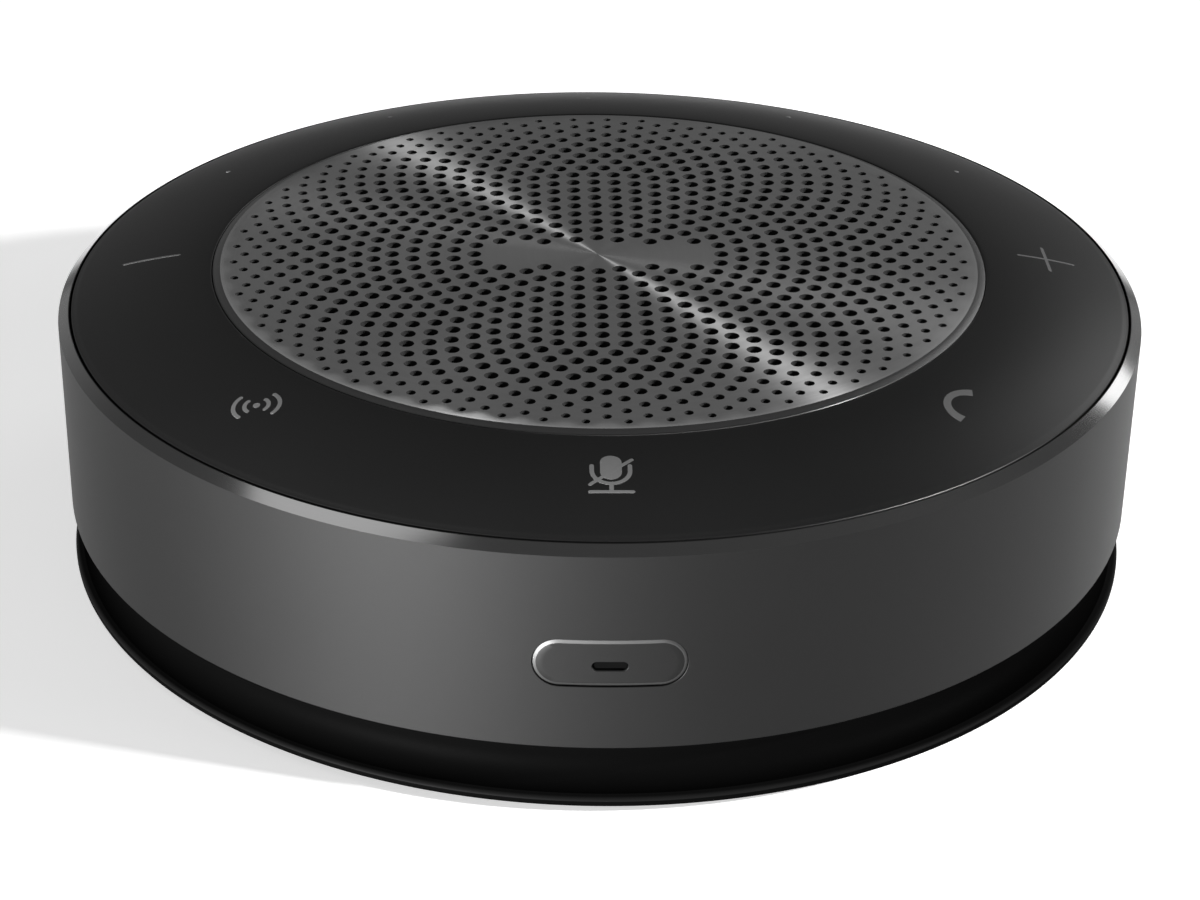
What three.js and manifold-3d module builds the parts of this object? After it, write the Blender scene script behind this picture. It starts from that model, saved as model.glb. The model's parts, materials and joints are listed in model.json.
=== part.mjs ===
// Round conference speakerphone: a low puck with a metal speaker grille, a domed black touch ring, an
// aluminium side band with one pill-shaped push button, and a recessed plastic base on a rubber foot.
// Millimetres, +Z up, origin at the centre of the face it stands on, the push button facing -Y.
import * as THREE from "three";
import { mergeVertices } from "three/addons/utils/BufferGeometryUtils.js";
import Module from "manifold-3d";

const wasm = await Module();
wasm.setup();

// Overall
const BODY_R = 65.3; // side band and base rim
const TOTAL_H = 36.5;
const OUTER_SIDES = 48; // sides of every large round piece, the same on all so that they nest
const INNER_SIDES = 32; // sides of the loudspeaker's round pieces
const SMALL_SIDES = 8; // sides of screws, posts and pins
const RUN_GAP = 0.1; // clearance between round pieces that nest
const LOOSE_GAP = 0.3; // clearance round pieces that pass through holes
const OVERRUN = 1; // how far a cutting shape runs past what it cuts
const OVERLAP = 0.5; // how far a joined shape reaches into what it joins
const LAY_GAP = 0.2; // between a board and what lies on it

// Base shell and foot
const FOOT_STAND = 0.8; // how far the foot stands below the rim
const FOOT_GROOVE = 1.0; // how deep the foot sits in the base
const FOOT_INSET = 3.8; // from the rim to the foot's outer edge
const FOOT_W = 5.5;
const BASE_FLOOR = 2.0;
const RIM_LIP = 1.1; // height of the rim's lip
const SKIRT_INSET = 3.6; // how far the skirt is drawn in above the lip
const SKIRT_WALL = 1.8;
const BASE_H = 7.6; // from the rim's underside to the band
const BASE_LIP_H = 1.5; // locating lip inside the band
const BASE_LIP_W = 1.5;
const RIM_ROUND = 0.6; // from the rim's side in to where the flare starts
const FLARE_H = 3.2;
const FLARE_STEPS = 4;
const SHOULDER_INSET = 0.9; // from the body's outside to the base's shoulder under the band

// Side band
const BAND_WALL = 1.6;
const CHAMFER_W = 1.45;
const CHAMFER_H = 0.98;
const BAND_FLANGE_W = 2.1;
const BAND_FLANGE_H = 1.2;

// Black touch ring and grille
const RING_DROP = 3.39; // from the ring's inner edge down to its outer edge
const RING_DOME = 1.6; // exponent of the dome's fall, 1 for a cone
const RING_WALL = 1.6;
const GRILLE_R = 46.6;
const GRILLE_T = 1.0;
const GRILLE_BEVEL_W = 0.9;
const GRILLE_BEVEL_H = 0.34;
const CLOTH_T = 0.3;
const GRILLE_GASKET_T = 0.6;
const LEDGE_IN = 3.1; // ledge under the grille's edge
const LEDGE_OUT = 1.9;

// Touch board, microphones and light pipes
const TOUCH_BOARD_T = 1.0;
const LIGHT_COUNT = 5;
const LIGHT_STEP = 29; // degrees between the lights at the back
const LIGHT_OUT = 7.85; // from the ring's outer edge in to the lights
const PIPE_R = 0.4;
const PIPE_BASE_R = 1.1;
const MIC_COUNT = 4;
const MIC = [3.6, 2.8, 1.0];

// Mid frame
const MID_T = 2.0;
const POST_R = 3.2;
const POST_INSET = 14.3; // from the band's outside to the post's centre
const PILOT_GAP = 0.2; // clearance of a screw in the hole it bites in
const SCREW_GAP = 0.25; // clearance of a screw in the hole it passes through
const COLLAR_W = 2.6; // ring that carries the ledge under the grille
const DRIVER_BOSS = [2.6, 3]; // radius and depth below the frame
const FLEX_SLOT = [1.9, 8.2]; // way through for the touch board's flat cable

// Push button and its switch
const BUTTON_L = 16.3;
const BUTTON_H = 5.5;
const BUTTON_GAP = 0.17;
const BUTTON_RECESS = 0.05;
const BUTTON_FLANGE = 1.0;
const BUTTON_TRAVEL = 0.6;
const SLOT_L = 3.8;
const SLOT_H = 1.05;
const SLOT_DROP = 0.35; // how far the slot sits below the button's middle
const SWITCH = [6.0, 3.0, 5.0];
const SWITCH_X = 5.2;
const PLUNGER_R = 1.2;
const PLUNGER_OUT = 1.0;
const TOUCH_GAP = 0.05; // between the button's stem and the plunger
const SWITCH_BOARD = [20, 1.0, 8];
const BRACKET_T = 1.5;

// Boards, battery and socket
const BOARD_T = 1.6;
const BOARD_INSET = 11.3;
const BATTERY = [52, 38, 4.4];
const BATTERY_FOAM_T = 0.4;
const BOARD_GAP = 1.0; // between the battery and the main board
const BOARD_POST_PCD = 36;
const BOARD_POST_R = 2.4;
const BOARD_PILOT_DEEP = 5; // depth of the screw holes in the board posts
const TONGUE_W = 14; // of the main board, under the socket
const CHIP = [12, 12, 1.2];
const CAPACITOR = [3.15, 5.8]; // radius and height
const CAPACITOR_X = 36;
const CAPACITOR_Y = 9;
const LED = [2, 0.8, 1.2];
const FLEX_T = 0.3;
const TOUCH_FLEX_W = 7;
const SWITCH_FLEX_W = 5;
const LEAD = [1, 2.4]; // thickness and width of a twin lead
const CAN = [16, 20, 2];
const CAN_WALL = 0.3;
const CAN_Y = 6;
const CAN_GAP = 2.35; // between the shield can and the flat cable's end
const FLEX_TAB = 3; // length of a flat cable's end on a board
const LEAD_DROP = 2.8; // from the mid frame's underside down to the speaker lead
const SOCKET_W = 8.94;
const SOCKET_H = 3.2;
const SOCKET_D = 7.4;
const SOCKET_WALL = 0.3;
const SOCKET_BACK = 1; // thickness of the socket's back wall
const TONGUE = [6.6, 5.4, 0.7]; // of the socket

// Loudspeaker
const YOKE_T = 2.0;
const MAGNET_T = 4.0;
const TOP_PLATE_T = 2.0;
const MAGNET_R = 22.5;
const POLE_R = 8.2;
const COIL_GAP = 0.5;
const FORMER_T = 0.4;
const WINDING_T = 0.5;
const CONE_TRAVEL = 1.5;
const DRIVER_OVER_BOARD = 2.4;
const BASKET_WALL = 1.2;
const FLANGE_IN = 5; // from the mid frame's collar in to the driver's flange
const FLANGE_W = 6.4; // from the flange's edge in to the basket
const FLANGE_T = 1.0;
const DRIVER_GASKET_T = 0.4;
const SURROUND_W = 5.4; // from the basket in to the cone
const BASKET_LEDGE_OUT = 1.5; // the spider's ledge, outside the magnet
const CONE_T = 0.6;
const SPIDER_RISE = 3.0;
const SPIDER_T = 0.4;
const DUST_CAP_R = 12.5;
const DUST_CAP_RISE = 3.0;
const DUST_CAP_T = 0.5;
const SURROUND_T = 0.4;
const SURROUND_RIM = 1.7; // flat rims of the surround, glued to the cone and the frame
const FRAME_HOLE_R = 12; // middle hole of the driver's frame
const FRAME_WINDOW = [8, 18]; // depth and width of the windows in the basket
const SPIDER_WAVES = 8;
const WAVE_H = 0.5;

// Screws: head radius, head height, shank radius, shank length
const BASE_SCREW = [2.5, 1.8, 1.3, 13];
const BASE_SCREW_DEEP = 2.4; // how far its seat is above the base's underside
const BOARD_SCREW = [1.8, 1.3, 0.9, 4.5];
const DRIVER_SCREW = [2.1, 1.4, 0.9, 4.6];

// Heights and radii that follow from the sizes above
const baseUnder = FOOT_STAND;
const floorTop = baseUnder + BASE_FLOOR;
const bandBottom = baseUnder + BASE_H;
const bandInner = BODY_R - BAND_WALL;
const ringOuter = BODY_R - CHAMFER_W;
const ringInner = GRILLE_R + RUN_GAP;
const ringInnerZ = TOTAL_H - GRILLE_BEVEL_H + 0.04;
const ringOuterZ = ringInnerZ - RING_DROP;
const bandTop = ringOuterZ - CHAMFER_H;
const flangeTop = ringOuterZ - RING_WALL;
const midTop = flangeTop - BAND_FLANGE_H;
const midUnder = midTop - MID_T;
const ledgeTop = TOTAL_H - GRILLE_T - CLOTH_T - GRILLE_GASKET_T;
const ledgeUnder = ledgeTop - RING_WALL;
const batteryBottom = floorTop + BATTERY_FOAM_T;
const boardUnder = batteryBottom + BATTERY[2] + BOARD_GAP;
const boardTop = boardUnder + BOARD_T;
const boardR = BODY_R - BOARD_INSET;
const postPcd = BODY_R - POST_INSET;
const yokeBottom = boardTop + DRIVER_OVER_BOARD;
const magnetBottom = yokeBottom + YOKE_T;
const plateBottom = magnetBottom + MAGNET_T;
const plateTop = plateBottom + TOP_PLATE_T;
const driverFlangeZ = midTop + DRIVER_GASKET_T;
const driverFlangeTop = driverFlangeZ + FLANGE_T;
const collarInner = ringInner - LEDGE_IN + 0.2;
const flangeR = collarInner - FLANGE_IN;
const basketR = flangeR - FLANGE_W;
const driverScrewPcd = flangeR - DRIVER_SCREW[0] - 0.9;
const coneR = basketR - SURROUND_W;
const basketLedgeR = MAGNET_R + BASKET_LEDGE_OUT;
const formerInner = POLE_R + COIL_GAP;
const formerOuter = formerInner + FORMER_T;
const windingOuter = formerOuter + WINDING_T;
const gapOuter = windingOuter + COIL_GAP;
const spiderZ = plateTop + SPIDER_RISE;
const coneNeckR = formerOuter + RUN_GAP;
const coneNeckZ = spiderZ + SPIDER_T + 0.9;
const coneEdgeZ = driverFlangeTop - CONE_T - RUN_GAP;
const lightR = ringOuter - LIGHT_OUT;
const touchInner = ringInner + 2.6;
const touchOuter = ringOuter - 2.85;
const flexR = touchInner - 1.15; // the touch board's flat cable goes down inside the board's inner edge
const bossTop = boardUnder - 1.6;
const postAngles = [45, 135, 225, 315];
const buttonFlangeY = -(Math.sqrt(bandInner ** 2 - (BUTTON_L / 2 + BUTTON_FLANGE) ** 2) - LOOSE_GAP);
const buttonBackY = buttonFlangeY + BUTTON_FLANGE;
// The button's middle is halfway between the base's locating lip and the mid frame.
const buttonZ = (bandBottom + BASE_LIP_H + midUnder) / 2;
const slotZ = buttonZ - SLOT_DROP;
const switchFrontY = buttonBackY + BUTTON_TRAVEL + PLUNGER_OUT + 0.2;
const switchBoardY = switchFrontY + SWITCH[1];
const socketZ = boardTop + SOCKET_H / 2;
const socketMouthY = BODY_R - 0.5;

// Finishes: colour, roughness, metalness
const FINISH = {
  grille: [0x595959, 0.35, 1],
  band: [0x4d4d4f, 0.38, 1],
  touch: [0x101011, 0.3, 0],
  black: [0x17171a, 0.6, 0],
  base: [0x0e0e0f, 0.45, 0],
  rubber: [0x1c1c1c, 0.9, 0],
  foam: [0x2b2b2b, 1, 0],
  cloth: [0x0b0b0b, 1, 0],
  board: [0x1d5a38, 0.5, 0],
  chip: [0x222225, 0.4, 0],
  steel: [0xb4b6b8, 0.3, 1],
  light: [0x8f9294, 0.3, 0],
  magnet: [0x3a3a3c, 0.7, 0],
  paper: [0x262626, 0.9, 0],
  copper: [0xb87333, 0.3, 1],
  spider: [0xc49a4a, 0.9, 0],
  battery: [0x3a6fb0, 0.4, 0],
  flex: [0xc87d1e, 0.4, 0],
  lead: [0x8a1a1a, 0.5, 0],
};

const speakerphone = new THREE.Group();

function add(name, geometry, finish) {
  const [color, roughness, metalness] = FINISH[finish];
  const mesh = new THREE.Mesh(geometry, new THREE.MeshStandardMaterial({ color, roughness, metalness }));
  mesh.name = name;
  speakerphone.add(mesh);
  return mesh;
}

// A profile of [radius, height] points turned about Z, outer side going up.
function lathe(profile, sides = OUTER_SIDES) {
  const points = profile.map(([r, z]) => new THREE.Vector2(r, z));
  return new THREE.LatheGeometry(points, sides).rotateX(Math.PI / 2);
}

// The same for a ring whose profile doesn't meet the axis.
function ring(profile, sides = OUTER_SIDES) {
  return lathe([...profile, profile[0]], sides);
}

function tube(inner, outer, low, high, sides = OUTER_SIDES) {
  return ring([[inner, low], [outer, low], [outer, high], [inner, high]], sides);
}

function cylinder(r, low, high, sides = SMALL_SIDES) {
  return lathe([[0, low], [r, low], [r, high], [0, high]], sides);
}

function box([w, d, h], x, y, z) {
  return new THREE.BoxGeometry(w, d, h).translate(x, y, z + h / 2);
}

// A pill outline of full length and height, extruded along Y from front to back.
function pillBar(length, height, front, back, z, x = 0) {
  const r = height / 2;
  const half = length / 2 - r;
  const shape = new THREE.Shape();
  shape.absarc(half, 0, r, -Math.PI / 2, Math.PI / 2);
  shape.absarc(-half, 0, r, Math.PI / 2, (3 * Math.PI) / 2);
  const options = { depth: back - front, bevelEnabled: false, curveSegments: 8 };
  const bar = new THREE.ExtrudeGeometry(shape, options);
  return bar.rotateX(Math.PI / 2).translate(x, back, z);
}

// A flat strip that follows points in a plane through the axis, then turned to its place round the axis.
function strip(points, thickness, width, degrees) {
  const side = (sign) =>
    points.map(([r, z], i) => {
      const before = points[Math.max(i - 1, 0)];
      const after = points[Math.min(i + 1, points.length - 1)];
      const away = (a, b) => new THREE.Vector2(a[1] - b[1], b[0] - a[0]).normalize();
      const n1 = away(before, i ? [r, z] : after);
      const n2 = away(i < points.length - 1 ? [r, z] : before, after);
      const mean = n1.clone().add(n2).normalize();
      const reach = (sign * thickness) / 2 / mean.dot(n1);
      return new THREE.Vector2(r + mean.x * reach, z + mean.y * reach);
    });
  const shape = new THREE.Shape([...side(1), ...side(-1).reverse()]);
  const flat = new THREE.ExtrudeGeometry(shape, { depth: width, bevelEnabled: false });
  return turn(flat.rotateX(Math.PI / 2).translate(0, width / 2, 0), degrees);
}

function turn(geometry, degrees) {
  return geometry.rotateZ(THREE.MathUtils.degToRad(degrees));
}

// A place at a radius and an angle from +X.
function polar(radius, degrees) {
  const angle = THREE.MathUtils.degToRad(degrees);
  return [radius * Math.cos(angle), radius * Math.sin(angle)];
}

function place(geometry, radius, degrees) {
  const [x, y] = polar(radius, degrees);
  return geometry.translate(x, y, 0);
}

function solid(geometry) {
  const bare = geometry.clone();
  bare.deleteAttribute("normal");
  bare.deleteAttribute("uv");
  const merged = mergeVertices(bare);
  const vertProperties = merged.getAttribute("position").array;
  const triVerts = new Uint32Array(merged.index.array);
  return new wasm.Manifold(new wasm.Mesh({ numProp: 3, vertProperties, triVerts }));
}

function geometryOf(manifold) {
  const { vertProperties, triVerts } = manifold.getMesh();
  const geometry = new THREE.BufferGeometry();
  geometry.setAttribute("position", new THREE.BufferAttribute(vertProperties, 3));
  geometry.setIndex(new THREE.BufferAttribute(triVerts, 1));
  geometry.computeVertexNormals();
  return geometry;
}

// One body from a start, what is joined to it and what is then cut away.
function carve(start, joined, cuts) {
  let body = solid(start);
  for (const piece of joined) body = body.add(solid(piece));
  for (const piece of cuts) body = body.subtract(solid(piece));
  return geometryOf(body);
}

// A pan-head screw with a hexagon socket. Its head seats at a height, its shank points up (+1) or down (-1).
function screw([headR, headH, shankR, length], seat, up) {
  const profile = [[0, -headH], [headR * 0.8, -headH], [headR, -headH * 0.75], [headR, 0], [shankR, 0]];
  profile.push([shankR, length - shankR], [shankR * 0.4, length], [0, length]);
  const socket = cylinder(headR * 0.45, -headH - OVERRUN, -headH * 0.45, 6);
  const body = carve(lathe(profile, SMALL_SIDES), [], [socket]);
  if (up < 0) body.rotateX(Math.PI);
  return body.translate(0, 0, seat);
}

// Height of the touch ring's outer surface at a radius.
function domeZ(r) {
  const share = (r - ringInner) / (ringOuter - ringInner);
  return ringInnerZ - RING_DROP * Math.max(share, 0) ** RING_DOME;
}

function domePoints(from, to, steps, drop) {
  return Array.from({ length: steps + 1 }, (_, i) => {
    const r = from + ((to - from) * i) / steps;
    return [r, domeZ(r) - drop];
  });
}

function baseShell() {
  const lipTop = baseUnder + RIM_LIP;
  const wallR = BODY_R - SKIRT_INSET;
  const inner = wallR - SKIRT_WALL;
  const grooveOuter = BODY_R - FOOT_INSET + RUN_GAP;
  const grooveInner = BODY_R - FOOT_INSET - FOOT_W - RUN_GAP;
  const lipOuter = bandInner - LOOSE_GAP;
  const profile = [
    [0, baseUnder],
    [grooveInner, baseUnder],
    [grooveInner, baseUnder + FOOT_GROOVE],
    [grooveOuter, baseUnder + FOOT_GROOVE],
    [grooveOuter, baseUnder],
    [BODY_R - 0.4, baseUnder],
    [BODY_R, baseUnder + 0.3],
    [BODY_R, lipTop - 0.4],
    [BODY_R - 0.2, lipTop - 0.1],
    [BODY_R - RIM_ROUND, lipTop],
  ];
  // The skirt's concave flare is a quarter ellipse from the lip in to the wall.
  const flareW = SKIRT_INSET - RIM_ROUND;
  for (let i = 1; i <= FLARE_STEPS; i++) {
    const t = (i / FLARE_STEPS) * (Math.PI / 2);
    profile.push([BODY_R - RIM_ROUND - flareW * Math.sin(t), lipTop + FLARE_H * (1 - Math.cos(t))]);
  }
  profile.push(
    [wallR, bandBottom - 1.6],
    [BODY_R - SHOULDER_INSET, bandBottom - 0.8],
    [BODY_R - SHOULDER_INSET, bandBottom],
    [lipOuter, bandBottom],
    [lipOuter, bandBottom + BASE_LIP_H],
    [lipOuter - BASE_LIP_W, bandBottom + BASE_LIP_H],
    [lipOuter - BASE_LIP_W, bandBottom],
    [inner, bandBottom - 1.4],
    [inner, floorTop],
    [0, floorTop],
  );
  const joined = [];
  const cuts = [];
  for (const angle of postAngles) {
    joined.push(place(cylinder(POST_R, floorTop - OVERLAP, bossTop), postPcd, angle));
    joined.push(place(cylinder(BOARD_POST_R, floorTop - OVERLAP, boardUnder), BOARD_POST_PCD, angle));
    const headRoom = cylinder(BASE_SCREW[0] + LOOSE_GAP, baseUnder - OVERRUN, baseUnder + BASE_SCREW_DEEP);
    cuts.push(place(headRoom, postPcd, angle));
    cuts.push(place(cylinder(BASE_SCREW[2] + LOOSE_GAP, baseUnder, bossTop + OVERRUN), postPcd, angle));
    const pilotLow = boardUnder - BOARD_PILOT_DEEP;
    const boardPilot = cylinder(BOARD_SCREW[2] + PILOT_GAP, pilotLow, boardUnder + OVERRUN);
    cuts.push(place(boardPilot, BOARD_POST_PCD, angle));
  }
  return carve(lathe(profile), joined, cuts);
}

function sideBand() {
  const profile = [
    [bandInner, bandBottom],
    [BODY_R, bandBottom],
    [BODY_R, bandTop],
    [ringOuter + RUN_GAP, ringOuterZ],
    [ringOuter + RUN_GAP, flangeTop],
    [bandInner - BAND_FLANGE_W, flangeTop],
    [bandInner - BAND_FLANGE_W, midTop],
    [bandInner, midTop],
  ];
  const hole = pillBar(BUTTON_L + 2 * BUTTON_GAP, BUTTON_H + 2 * BUTTON_GAP, -BODY_R - OVERRUN, 0, buttonZ);
  const port = pillBar(SOCKET_W + 2 * LOOSE_GAP, SOCKET_H + 2 * LOOSE_GAP, 0, BODY_R + OVERRUN, socketZ);
  return carve(ring(profile), [], [hole, port]);
}

function topRing() {
  const shoulder = ringInner + LEDGE_OUT - 0.3;
  const underEnd = ringOuter - RING_WALL;
  const profile = [
    [ringInner, ledgeTop],
    [ringInner - LEDGE_IN - LOOSE_GAP, ledgeTop],
    [ringInner - LEDGE_IN - LOOSE_GAP, ledgeUnder],
    [shoulder, ledgeUnder],
    ...domePoints(shoulder, underEnd, 3, RING_WALL),
    [underEnd, flangeTop],
    [ringOuter, flangeTop],
    ...domePoints(ringInner, ringOuter, 6, 0).reverse(),
  ];
  const cuts = lightAngles().map((angle) => {
    return place(cylinder(PIPE_R + RUN_GAP, midTop, TOTAL_H + OVERRUN), lightR, angle);
  });
  return carve(ring(profile), [], cuts);
}

function lightAngles() {
  const first = 90 - (LIGHT_STEP * (LIGHT_COUNT - 1)) / 2;
  return Array.from({ length: LIGHT_COUNT }, (_, i) => first + i * LIGHT_STEP);
}

function lightPipe() {
  const step = domeZ(lightR + PIPE_BASE_R) - RING_WALL - LOOSE_GAP;
  const top = domeZ(lightR) - 0.05;
  const foot = midTop + TOUCH_BOARD_T + LAY_GAP;
  const profile = [[0, foot], [PIPE_BASE_R, foot]];
  profile.push([PIPE_BASE_R, step], [PIPE_R, step], [PIPE_R, top], [0, top]);
  return lathe(profile, SMALL_SIDES);
}

function grillePlate() {
  const bottom = TOTAL_H - GRILLE_T;
  const profile = [[0, bottom], [GRILLE_R, bottom], [GRILLE_R, TOTAL_H - GRILLE_BEVEL_H]];
  profile.push([GRILLE_R - GRILLE_BEVEL_W, TOTAL_H], [0, TOTAL_H]);
  return lathe(profile);
}

function midFrame() {
  const hole = basketR + 0.6;
  const collarOuter = collarInner + COLLAR_W;
  const outer = bandInner - LOOSE_GAP;
  const profile = [[hole, midUnder], [outer, midUnder], [outer, midTop], [collarOuter, midTop]];
  profile.push([collarOuter, ledgeUnder], [collarInner, ledgeUnder], [collarInner, midTop], [hole, midTop]);
  const joined = [];
  const cuts = [];
  for (const angle of postAngles) {
    joined.push(place(cylinder(POST_R, bossTop, midUnder + OVERLAP), postPcd, angle));
    const pilotTop = baseUnder + BASE_SCREW_DEEP + BASE_SCREW[3] + OVERRUN;
    cuts.push(place(cylinder(BASE_SCREW[2] + PILOT_GAP, bossTop - OVERRUN, pilotTop), postPcd, angle));
    const boss = cylinder(DRIVER_BOSS[0], midUnder - DRIVER_BOSS[1], midUnder + OVERLAP);
    joined.push(place(boss, driverScrewPcd, angle));
    const bossFloor = midUnder - DRIVER_BOSS[1] + 1;
    const bossHole = cylinder(DRIVER_SCREW[2] + PILOT_GAP, bossFloor, midTop + OVERRUN);
    cuts.push(place(bossHole, driverScrewPcd, angle));
  }
  // The bracket that the switch board stands against hangs behind the button.
  const bracketY = switchBoardY + SWITCH_BOARD[1];
  const bracketLow = buttonZ - SWITCH_BOARD[2] / 2;
  const bracket = [SWITCH_BOARD[0], BRACKET_T, midUnder + OVERLAP - bracketLow];
  joined.push(box(bracket, 0, bracketY + BRACKET_T / 2, bracketLow));
  cuts.push(turn(box([...FLEX_SLOT, MID_T + 2 * OVERRUN], flexR + RUN_GAP, 0, midUnder - OVERRUN), 180));
  return carve(ring(profile), joined, cuts);
}

function mainBoard() {
  const tongueSize = [TONGUE_W, SOCKET_D + 2 * OVERLAP, BOARD_T];
  const tongue = box(tongueSize, 0, boardR + SOCKET_D / 2 - OVERLAP, boardUnder);
  const low = boardUnder - OVERRUN;
  const high = boardTop + OVERRUN;
  const cuts = [];
  for (const angle of postAngles) {
    const postHole = cylinder(POST_R + 2 * LOOSE_GAP, low, high, 3 * SMALL_SIDES);
    cuts.push(place(postHole, postPcd, angle));
    cuts.push(place(cylinder(BOARD_SCREW[2] + SCREW_GAP, low, high), BOARD_POST_PCD, angle));
  }
  return carve(cylinder(boardR, boardUnder, boardTop, OUTER_SIDES), [tongue], cuts);
}

function powerButton() {
  const face = cylinder(BODY_R - BUTTON_RECESS, buttonZ - BUTTON_H, buttonZ + BUTTON_H, OUTER_SIDES * 2);
  const cap = solid(pillBar(BUTTON_L, BUTTON_H, -BODY_R, buttonBackY, buttonZ)).intersect(solid(face));
  const flangeH = BUTTON_H + 2 * BUTTON_FLANGE;
  const flangeL = BUTTON_L + 2 * BUTTON_FLANGE;
  const flange = solid(pillBar(flangeL, flangeH, buttonFlangeY, buttonBackY, buttonZ));
  const stem = solid(yCylinder(PLUNGER_R, buttonBackY - LAY_GAP, switchFrontY - PLUNGER_OUT - TOUCH_GAP));
  const slot = solid(pillBar(SLOT_L, SLOT_H, -BODY_R - OVERRUN, switchFrontY, slotZ));
  return geometryOf(cap.add(flange).add(stem).subtract(slot));
}

function yCylinder(r, front, back) {
  return cylinder(r, front, back).rotateX(-Math.PI / 2).translate(SWITCH_X, 0, buttonZ);
}

function switchBody() {
  const depth = BUTTON_TRAVEL + 0.9;
  const bore = yCylinder(PLUNGER_R + RUN_GAP, switchFrontY - OVERRUN, switchFrontY + depth);
  const block = box(SWITCH, SWITCH_X, switchFrontY + SWITCH[1] / 2, buttonZ - SWITCH[2] / 2);
  return carve(block, [], [bore]);
}

function usbSocket() {
  const back = socketMouthY - SOCKET_D;
  const shell = pillBar(SOCKET_W, SOCKET_H, back, socketMouthY, socketZ);
  const mouth = pillBar(
    SOCKET_W - 2 * SOCKET_WALL,
    SOCKET_H - 2 * SOCKET_WALL,
    back + SOCKET_BACK,
    socketMouthY + OVERRUN,
    socketZ,
  );
  return carve(shell, [], [mouth]);
}

function shieldCan() {
  const x = FLEX_TAB + CAN_GAP + CAN[0] / 2 - flexR;
  const room = [CAN[0] - 2 * CAN_WALL, CAN[1] - 2 * CAN_WALL, CAN[2]];
  const hollow = box(room, x, CAN_Y, boardTop - CAN_WALL);
  return carve(box(CAN, x, CAN_Y, boardTop), [], [hollow]);
}

function driverFrame() {
  const floor = plateTop;
  const ledgeR = basketLedgeR;
  const ledgeIn = ledgeR - 2.8;
  const topIn = basketR - BASKET_WALL;
  const shoulderZ = Math.max(midUnder, spiderZ + 1);
  const profile = [
    [FRAME_HOLE_R, floor],
    [ledgeIn + BASKET_WALL, floor],
    [ledgeIn + BASKET_WALL, spiderZ - BASKET_WALL],
    [ledgeR + BASKET_WALL, spiderZ - BASKET_WALL],
    [basketR, shoulderZ - 0.4],
    [basketR, driverFlangeZ],
    [flangeR, driverFlangeZ],
    [flangeR, driverFlangeTop],
    [topIn, driverFlangeTop],
    [topIn, shoulderZ],
    [ledgeR, spiderZ],
    [ledgeIn, spiderZ],
    [ledgeIn, floor + FLANGE_T],
    [FRAME_HOLE_R, floor + FLANGE_T],
  ];
  const screwHoleR = DRIVER_SCREW[2] + LOOSE_GAP;
  const cuts = postAngles.map((angle) => {
    const hole = cylinder(screwHoleR, driverFlangeZ - OVERRUN, driverFlangeTop + OVERRUN);
    return place(hole, driverScrewPcd, angle);
  });
  // Four windows let the air out behind the cone.
  const windowSize = [...FRAME_WINDOW, shoulderZ - spiderZ - 1.2];
  for (const angle of [0, 90, 180, 270]) {
    cuts.push(turn(box(windowSize, ledgeR + 4.6, 0, spiderZ + 0.4), angle));
  }
  return carve(ring(profile, INNER_SIDES), [], cuts);
}

function yoke() {
  const profile = [[0, yokeBottom], [MAGNET_R - 1, yokeBottom], [MAGNET_R - 1, magnetBottom]];
  profile.push([POLE_R, magnetBottom], [POLE_R, plateTop], [0, plateTop]);
  return lathe(profile, INNER_SIDES);
}

function voiceCoil() {
  const low = magnetBottom + CONE_TRAVEL + 0.8;
  const windingTop = plateTop + CONE_TRAVEL;
  const top = coneNeckZ + 1.4;
  const profile = [[formerInner, low], [windingOuter, low], [windingOuter, windingTop]];
  profile.push([formerOuter, windingTop], [formerOuter, top], [formerInner, top]);
  return ring(profile, INNER_SIDES);
}

function coneZ(r) {
  return coneNeckZ + ((coneEdgeZ - coneNeckZ) * (r - coneNeckR)) / (coneR - coneNeckR);
}

function cone() {
  const profile = [[coneNeckR, coneZ(coneNeckR)], [coneR, coneZ(coneR)], [coneR, coneZ(coneR) + CONE_T]];
  profile.push([coneNeckR, coneZ(coneNeckR) + CONE_T]);
  return ring(profile, INNER_SIDES);
}

// A shallow dome shell whose edge rests on the cone.
function dustCap() {
  const edgeZ = coneZ(DUST_CAP_R) + CONE_T + RUN_GAP;
  const arch = (lift, from) =>
    Array.from({ length: 5 }, (_, i) => {
      const r = (DUST_CAP_R * (from ? i : 4 - i)) / 4;
      return [r, edgeZ + lift + DUST_CAP_RISE * (1 - (r / DUST_CAP_R) ** 2)];
    });
  return lathe([...arch(0, true), ...arch(DUST_CAP_T, false)], INNER_SIDES);
}

// A half-round roll between two flat rims.
function surround() {
  const rollIn = coneR - 0.2;
  const rollOut = basketR - BASKET_WALL + 0.4;
  const middle = (rollIn + rollOut) / 2;
  const half = (rollOut - rollIn) / 2;
  const skinTop = driverFlangeTop + SURROUND_T;
  const roll = (r, base) =>
    Array.from({ length: 5 }, (_, i) => {
      const a = (Math.PI * i) / 4;
      return [middle - r * Math.cos(a), base + r * 0.8 * Math.sin(a)];
    });
  const profile = [
    [rollIn - SURROUND_RIM, driverFlangeTop],
    ...roll(half - SURROUND_T, driverFlangeTop),
    [rollOut + SURROUND_RIM, driverFlangeTop],
    [rollOut + SURROUND_RIM, skinTop],
    ...roll(half, skinTop).reverse(),
    [rollIn - SURROUND_RIM, skinTop],
  ];
  return ring(profile, INNER_SIDES);
}

// The spider is a flat ring pressed into waves.
function spider() {
  const from = formerOuter + RUN_GAP;
  const to = basketLedgeR - 0.4;
  const steps = SPIDER_WAVES;
  const wave = (lift) =>
    Array.from({ length: steps + 1 }, (_, i) => {
      const crest = i > 1 && i < steps - 1 && i % 2 ? WAVE_H : 0;
      return [from + ((to - from) * i) / steps, spiderZ + crest + lift];
    });
  return ring([...wave(0), ...wave(SPIDER_T).reverse()], INNER_SIDES);
}

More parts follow.
